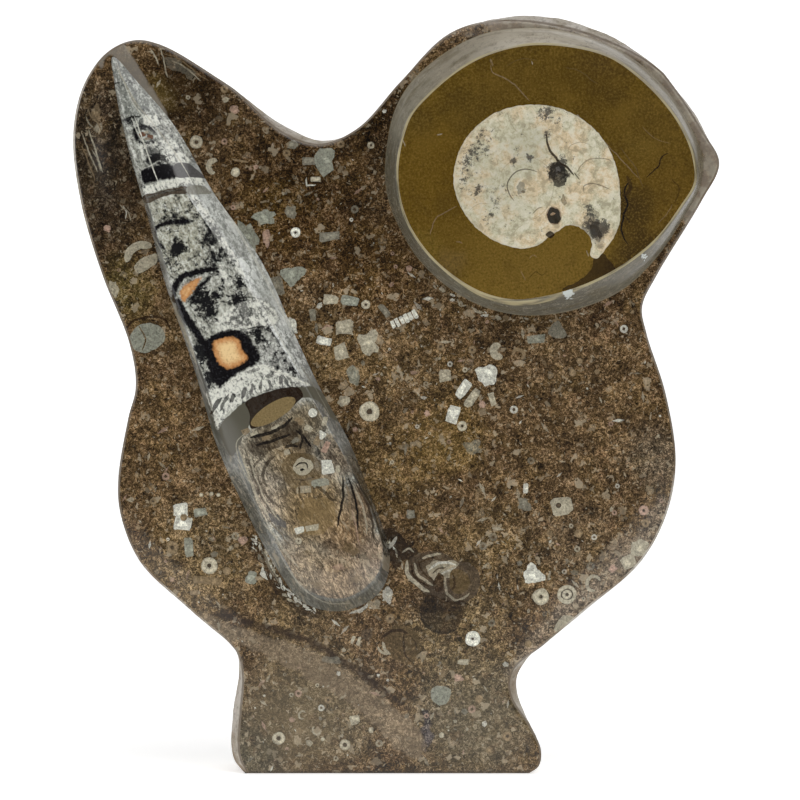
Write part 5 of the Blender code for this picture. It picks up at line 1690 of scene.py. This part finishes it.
shellLines = [  # thin septa, scratches and painted highlights along the sharp edge of the bevel
    ([(-113, 274.4), (-111.4, 275), (-109.4, 275)], 0.5, "ink", 0.92),
    ([(-108.6, 260), (-105.4, 261.2), (-101, 261.6)], 0.5, "ink", 0.8),
    ([(-67.8, 187.2), (-63.8, 188.8), (-59, 189.6), (-53.4, 188.8)], 0.6, "ink", 0.6),
    ([(-59.4, 176.8), (-55.8, 177.6), (-51.4, 178)], 0.5, "ink", 0.92),
    # Painted highlights: bright lines along the sharp edge of the bevel.
    ([(-103.8, 261.6), (-100.6, 252.8), (-97, 242.8), (-93.8, 234.4)], 0.5, "bright", 0.95),
    ([(-108.2, 275.2), (-104.6, 267.2), (-99, 260), (-94.2, 254.4)], 0.6, "bright", 0.6),
    ([(-111.8, 282.4), (-107.4, 274.4), (-102.2, 265.6), (-97.4, 260), (-91.8, 252.8), (-86.2, 244.8),
        (-81.4, 236.8)], 0.5, "bone", 0.5),
    ([(-111.4, 284), (-108.6, 276.8), (-105, 269.6), (-102.2, 263.2)], 0.4, "bone", 0.55),
    ([(-105, 261.2), (-102.6, 255.2), (-99.8, 250.4)], 0.4, "bright", 0.7),
    ([(-59.8, 195.2), (-55, 188.8), (-50.2, 181.6), (-46.2, 174.4), (-41.4, 165.6), (-36.6, 157.6)], 0.5,
        "bright", 0.6),
    ([(-53.4, 162.8), (-47.8, 160.4), (-41.4, 158), (-35, 155.2)], 0.6, "bright", 0.8),
    ([(-90.2, 190), (-87, 182.8), (-82.6, 172.8), (-78.6, 163.2), (-75.8, 156)], 1.3, "bone", 0.6),
    ([(-79.8, 168), (-77.4, 160), (-74.2, 150.8), (-72.6, 144)], 1, "ink", 0.6),
    ([(-75.8, 236.8), (-67.8, 224.8), (-60.6, 212.8), (-53.4, 200), (-46.2, 186.4), (-39.8, 172.8)], 0.9,
        "bright", 0.55),
    ([(-38.2, 164), (-35, 158.4), (-31, 152), (-26.2, 143.2)], 0.5, "grey", 0.6),
    ([(-59.4, 136), (-63, 132), (-62.2, 125.6), (-59.4, 119.2), (-55.8, 112.8), (-53, 107.2),
        (-49.4, 101.2)], 0.5, "bone", 0.6),
    ([(-46.2, 88), (-41.4, 80), (-34.2, 72), (-26.2, 68), (-17.4, 68)], 0.5, "bone", 0.45),
]


def crownRise(points):
    tip = np.array(shell["wall"][0][0])
    climb = smoothStep(np.hypot(*(points - tip).T) / shell["tipReach"])
    return shell["tipRise"] + (shell["rise"] - shell["tipRise"]) * climb


def shellDepth(points):
    toCrest = edgeDistance(shellCrest, points)
    toFoot = edgeDistance(shellFoot, points)
    onCrown = insideRing(shellCrest, points)
    dome = shell["crown"] * (1 - (1 - np.minimum(1, toCrest / 12)) ** 2)
    crownAt = slab["faceDepth"] - crownRise(points) - np.where(onCrown, dome, 0)
    share = toFoot / (toFoot + toCrest + 1e-9)
    rise = 1 - (1 - share) ** 1.35
    footAt = faceDepth(points)
    return np.where(onCrown, crownAt, footAt + (crownAt - footAt) * rise)


def makeOrthoceras():
    inlays = laid(shellFossils) + threads(shellLines, 0.12)
    loose = staggeredGrid(shellFoot, calcite["gridSpacing"], 0.35)
    loose = loose[edgeDistance(shellCrest, loose) > 0.3]
    made = inlaidSheet("orthoceras_shell", shellFoot, [], [shellCrest], inlays, loose, shellDepth)
    places = flatPlaces(made)
    pointValues(made, "ground", paintStains(places, calcite["ground"], calcite["stains"], 2))
    # Bevel colour with painted light and shade.
    pointValues(made, "bevelToneAndShading", paintStains(places, calcite["bevel"], calcite["bevelStainsAndShading"], 2))
    pointValues(made, "bevel", -depthInside(shellCrest, places))
    for name, shapes in shellBands.items():
        pointValues(made, name, fieldOf(places, shapes, 4))
    pointValues(made, "gloom", glooms(places, calcite["gloom"], 0.34))
    tip, mouth = np.array(calcite["axis"], float)
    axis = (mouth - tip) / math.dist(tip, mouth)
    along, across = (places - tip) @ axis, (places - tip) @ np.array([-axis[1], axis[0]])
    for name, (begin, width, least) in calcite["zones"].items():
        pointValues(made, name, least + (1 - least) * smoothStep((along - begin) / width))
    # Mask of the painted sheen of reflected light on the right bevel.
    pointValues(made, "paintedSheen", np.clip(spots(places, calcite["paintedSheen"]), 0, 1))
    pointValues(made, "shellPlace", np.stack([along, across, 0 * along], 1) / 10)
    made.data.materials.append(makeCalciteMaterial())
    print("orthoceras:", len(made.data.polygons), "faces")
    return made


def makeCalciteMaterial():
    material, shader, place = startMaterial("chamberedCalcite", coat=0.12)
    along = attribute("shellPlace", "Vector")
    along = sized(along, 10)
    stretched = put("Mapping", {"Vector": along, "Scale": (0.14, 1, 1)}).outputs[0]
    ground = attribute("ground", "Color")
    living = attribute("living")
    frost = useGroup(calciteFrost, Vector=place, Size=2.6, Gloom=attribute("gloom"))
    streakPlace = put("Mapping", {"Vector": along, "Scale": (0.4, 1, 1)}).outputs[0]
    streak = grain(streakPlace, 1.5, 5, 45, 0.7)
    flecks = timesPlus(streak, 0.5, times(frost["Cloud"], 0.5))
    vivid = times(attribute("crystals"), 0.85)
    light = times(fade(flecks, 0.49, 0.58), vivid)
    crown = blend(light, ground, (222, 224, 214))
    dim = times(fade(flecks, 0.49, 0.4), vivid)
    crown = blend(dim, crown, (58, 60, 60))
    mottle = blend(frost["Dark"], crown, (24, 24, 25))
    grit = useGroup(crinoidGrit, Vector=streakPlace, Grain=0.8, Chips=0.9)
    mud = grittyColour(ground, grit, 3.3, 0.8, (190, 174, 146))
    wisps = calc("ABSOLUTE", minus(grain(place, 4.2, 4, 71, 0.6), 0.5))
    mud = veil(mud, fade(wisps, 0.022, 0.004), 0.6, (50, 38, 30))
    mud = veil(mud, frost["Dark"], 0.5, (44, 34, 26))
    crown = blend(living, mottle, mud)
    # The bevel colour carries painted light and shade.
    bevel = attribute("bevelToneAndShading", "Color")
    streaks = grain(stretched, 1, 4, 5, 0.65)
    # Painted reflection on the right bevel: bright flecks and darker mottles stand in for reflected light.
    paintedSheen = attribute("paintedSheen")
    bevel = veil(bevel, fade(streaks, 0.5, 0.68), 0.35, (180, 180, 172))
    bevel = veil(bevel, fade(streaks, 0.5, 0.34), 0.4, (54, 52, 46))
    crystals = times(fade(flecks, 0.49, 0.56), paintedSheen)
    bevel = veil(bevel, crystals, 0.85, (226, 228, 222))
    shadows = times(fade(flecks, 0.49, 0.42), paintedSheen)
    bevel = veil(bevel, shadows, 0.6, (92, 94, 92))
    # Painted glints: bright facets in the sheen of the right bevel.
    paintedGlints = channels(cells(streakPlace, 2.4))[0]
    paintedGlints = times(fade(paintedGlints, 0.62, 0.8), times(paintedSheen, 0.55))
    bevel = blend(paintedGlints, bevel, (236, 238, 232))
    # Painted highlight along the crest edge of the bevel, within the sheen.
    ridge = times(fade(attribute("bevel"), 4.2, 0.6), paintedSheen)
    ridge = times(ridge, fade(flecks, 0.44, 0.52))
    bevel = veil(bevel, ridge, 0.75, (230, 232, 226))
    bevelMud = grittyColour(attribute("bevelToneAndShading", "Color"), grit, 3, 0.7)
    bevel = veil(bevel, living, 0.6, bevelMud)
    edge = times(fade(attribute("bevel"), -0.12, 0.12), attribute("bevelled"))
    tint = blend(edge, crown, bevel)
    ragged = minus(grain(place, 1.1, 4, 31, 0.7), 0.5)

    def sharp(name, waver, soft):
        value = timesPlus(ragged, waver, attribute(name))
        return fade(value, -soft, soft)

    smooth = blend(times(streaks, 0.25), (84, 81, 69), (106, 103, 90))
    tint = blend(sharp("slate", 0.8, 0.2), tint, smooth)
    chalk = blend(times(fade(flecks, 0.52, 0.42), 0.8), (226, 226, 214), (122, 124, 116))
    chalk = veil(chalk, fade(streak, 0.43, 0.36), 0.75, (52, 54, 54))
    chalk = veil(chalk, frost["Dark"], 0.8, (34, 34, 36))
    tint = blend(sharp("chalk", 2.6, 0.3), tint, chalk)
    ink = blend(times(frost["Sparkle"], 0.12), (14, 12, 14), (90, 92, 96))
    tint = blend(sharp("ink", 3.2, 0.5), tint, ink)
    deep = fade(timesPlus(ragged, 5, attribute("amber")), 0.2, 3.6)
    amber = blend(deep, (196, 138, 84), (238, 206, 152))
    amber = veil(amber, fade(frost["Cloud"], 0.46, 0.36), 0.6, (150, 92, 50))
    tint = blend(sharp("amber", 2.6, 0.5), tint, amber)
    tint = inlaidColour(tint, place)
    gloss = useGroup(polish, Vector=place, Gloss=calcite["gloss"], Wear=0.12)
    wire(shader, tint, gloss["Roughness"], frost["Cloud"], calcite["bump"])
    return material


# Build the object and hand each piece to the frame

def place(piece, node, slot):
    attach(piece, "root")
    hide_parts(node)


place(makePolishedFace(), "limestone_slab", "fossil_limestone")
place(makeBossWall(), "limestone_slab", "fossil_limestone")
place(makeRoughSides(), "limestone_slab", "fossil_limestone")
place(makeRoughBack(), "limestone_slab", "fossil_limestone")
place(makeGoniatite(), "goniatite", "goniatite_fill")
place(makeOrthoceras(), "orthoceras", "orthoceras_calcite")


# Pale floor, backdrop, light and camera

studio = {
    "floorReach": 2.2,
    "floorFront": 0.75,
    "wallAt": 1.5,
    "wallTop": 2.4,
    "sweep": 0.5,
    "world": 0.06,
    "lights": [  # name, place in metres, size, power in watts
        ("keyLight", (0.95, -1, 1.35), 1.3, 10.5), ("fillLight", (-1.75, -0.75, 0.7), 1.3, 11),
        ("topLight", (0.15, -0.25, 1.7), 1.4, 6), ("frontLight", (0, -1.7, 2), 1.4, 12.5),
    ],
    "camera": (1.8, -1600, 148.8),
    "lens": 178.3,
}


def makeStudio():
    wallAt, sweep = studio["wallAt"], studio["sweep"]
    profile = [(-studio["floorFront"], 0), (wallAt - sweep, 0)]
    for turn in np.linspace(0, math.pi / 2, 12)[1:]:
        profile.append((wallAt - sweep * (1 - math.sin(turn)), sweep * (1 - math.cos(turn))))
    profile.append((wallAt, studio["wallTop"]))
    reach = studio["floorReach"]
    corners = [(x, y, z) for y, z in profile for x in (-reach, reach)]
    quads = [(2 * i, 2 * i + 1, 2 * i + 3, 2 * i + 2) for i in range(len(profile) - 1)]
    backdrop = makeObject("studioSweep", np.array(corners) / mm, quads)
    backdrop.location.z = -0.0002
    material, shader, at = startMaterial("paperSweep", specular=0.1)
    paper = grain(at, 40, 2)
    white = blend(times(paper, 0.06), (0.9, 0.9, 0.9, 1), (0.8, 0.8, 0.8, 1))
    join(white, shader.inputs["Base Color"])
    shader.inputs["Roughness"].default_value = 0.9
    shader.inputs["Emission Color"].default_value = (1, 1, 1, 1)
    shader.inputs["Emission Strength"].default_value = 0.5
    backdrop.data.materials.append(material)

    scene = bpy.context.scene
    scene.world = bpy.data.worlds.new("studioWorld")
    scene.world.use_nodes = True
    sky = scene.world.node_tree.nodes["Background"].inputs
    sky["Color"].default_value = (1, 1, 1, 1)
    sky["Strength"].default_value = studio["world"]
    middle = Vector((0, 0, 0.15))
    for name, at, size, power in studio["lights"]:
        lamp = bpy.data.lights.new(name, "AREA")
        lamp.energy = power
        lamp.size = size
        holder = bpy.data.objects.new(name, lamp)
        holder.location = at
        holder.rotation_euler = (middle - Vector(at)).to_track_quat("-Z", "Y").to_euler()
        scene.collection.objects.link(holder)
    lensData = bpy.data.cameras.new("frontCamera")
    lensData.lens = studio["lens"]
    camera = bpy.data.objects.new("frontCamera", lensData)
    camera.location = Vector(studio["camera"]) * mm
    camera.rotation_euler = (math.pi / 2, 0, 0)
    scene.collection.objects.link(camera)
    scene.camera = camera
    scene.view_settings.view_transform = "Standard"
    print("studio ready")


makeStudio()
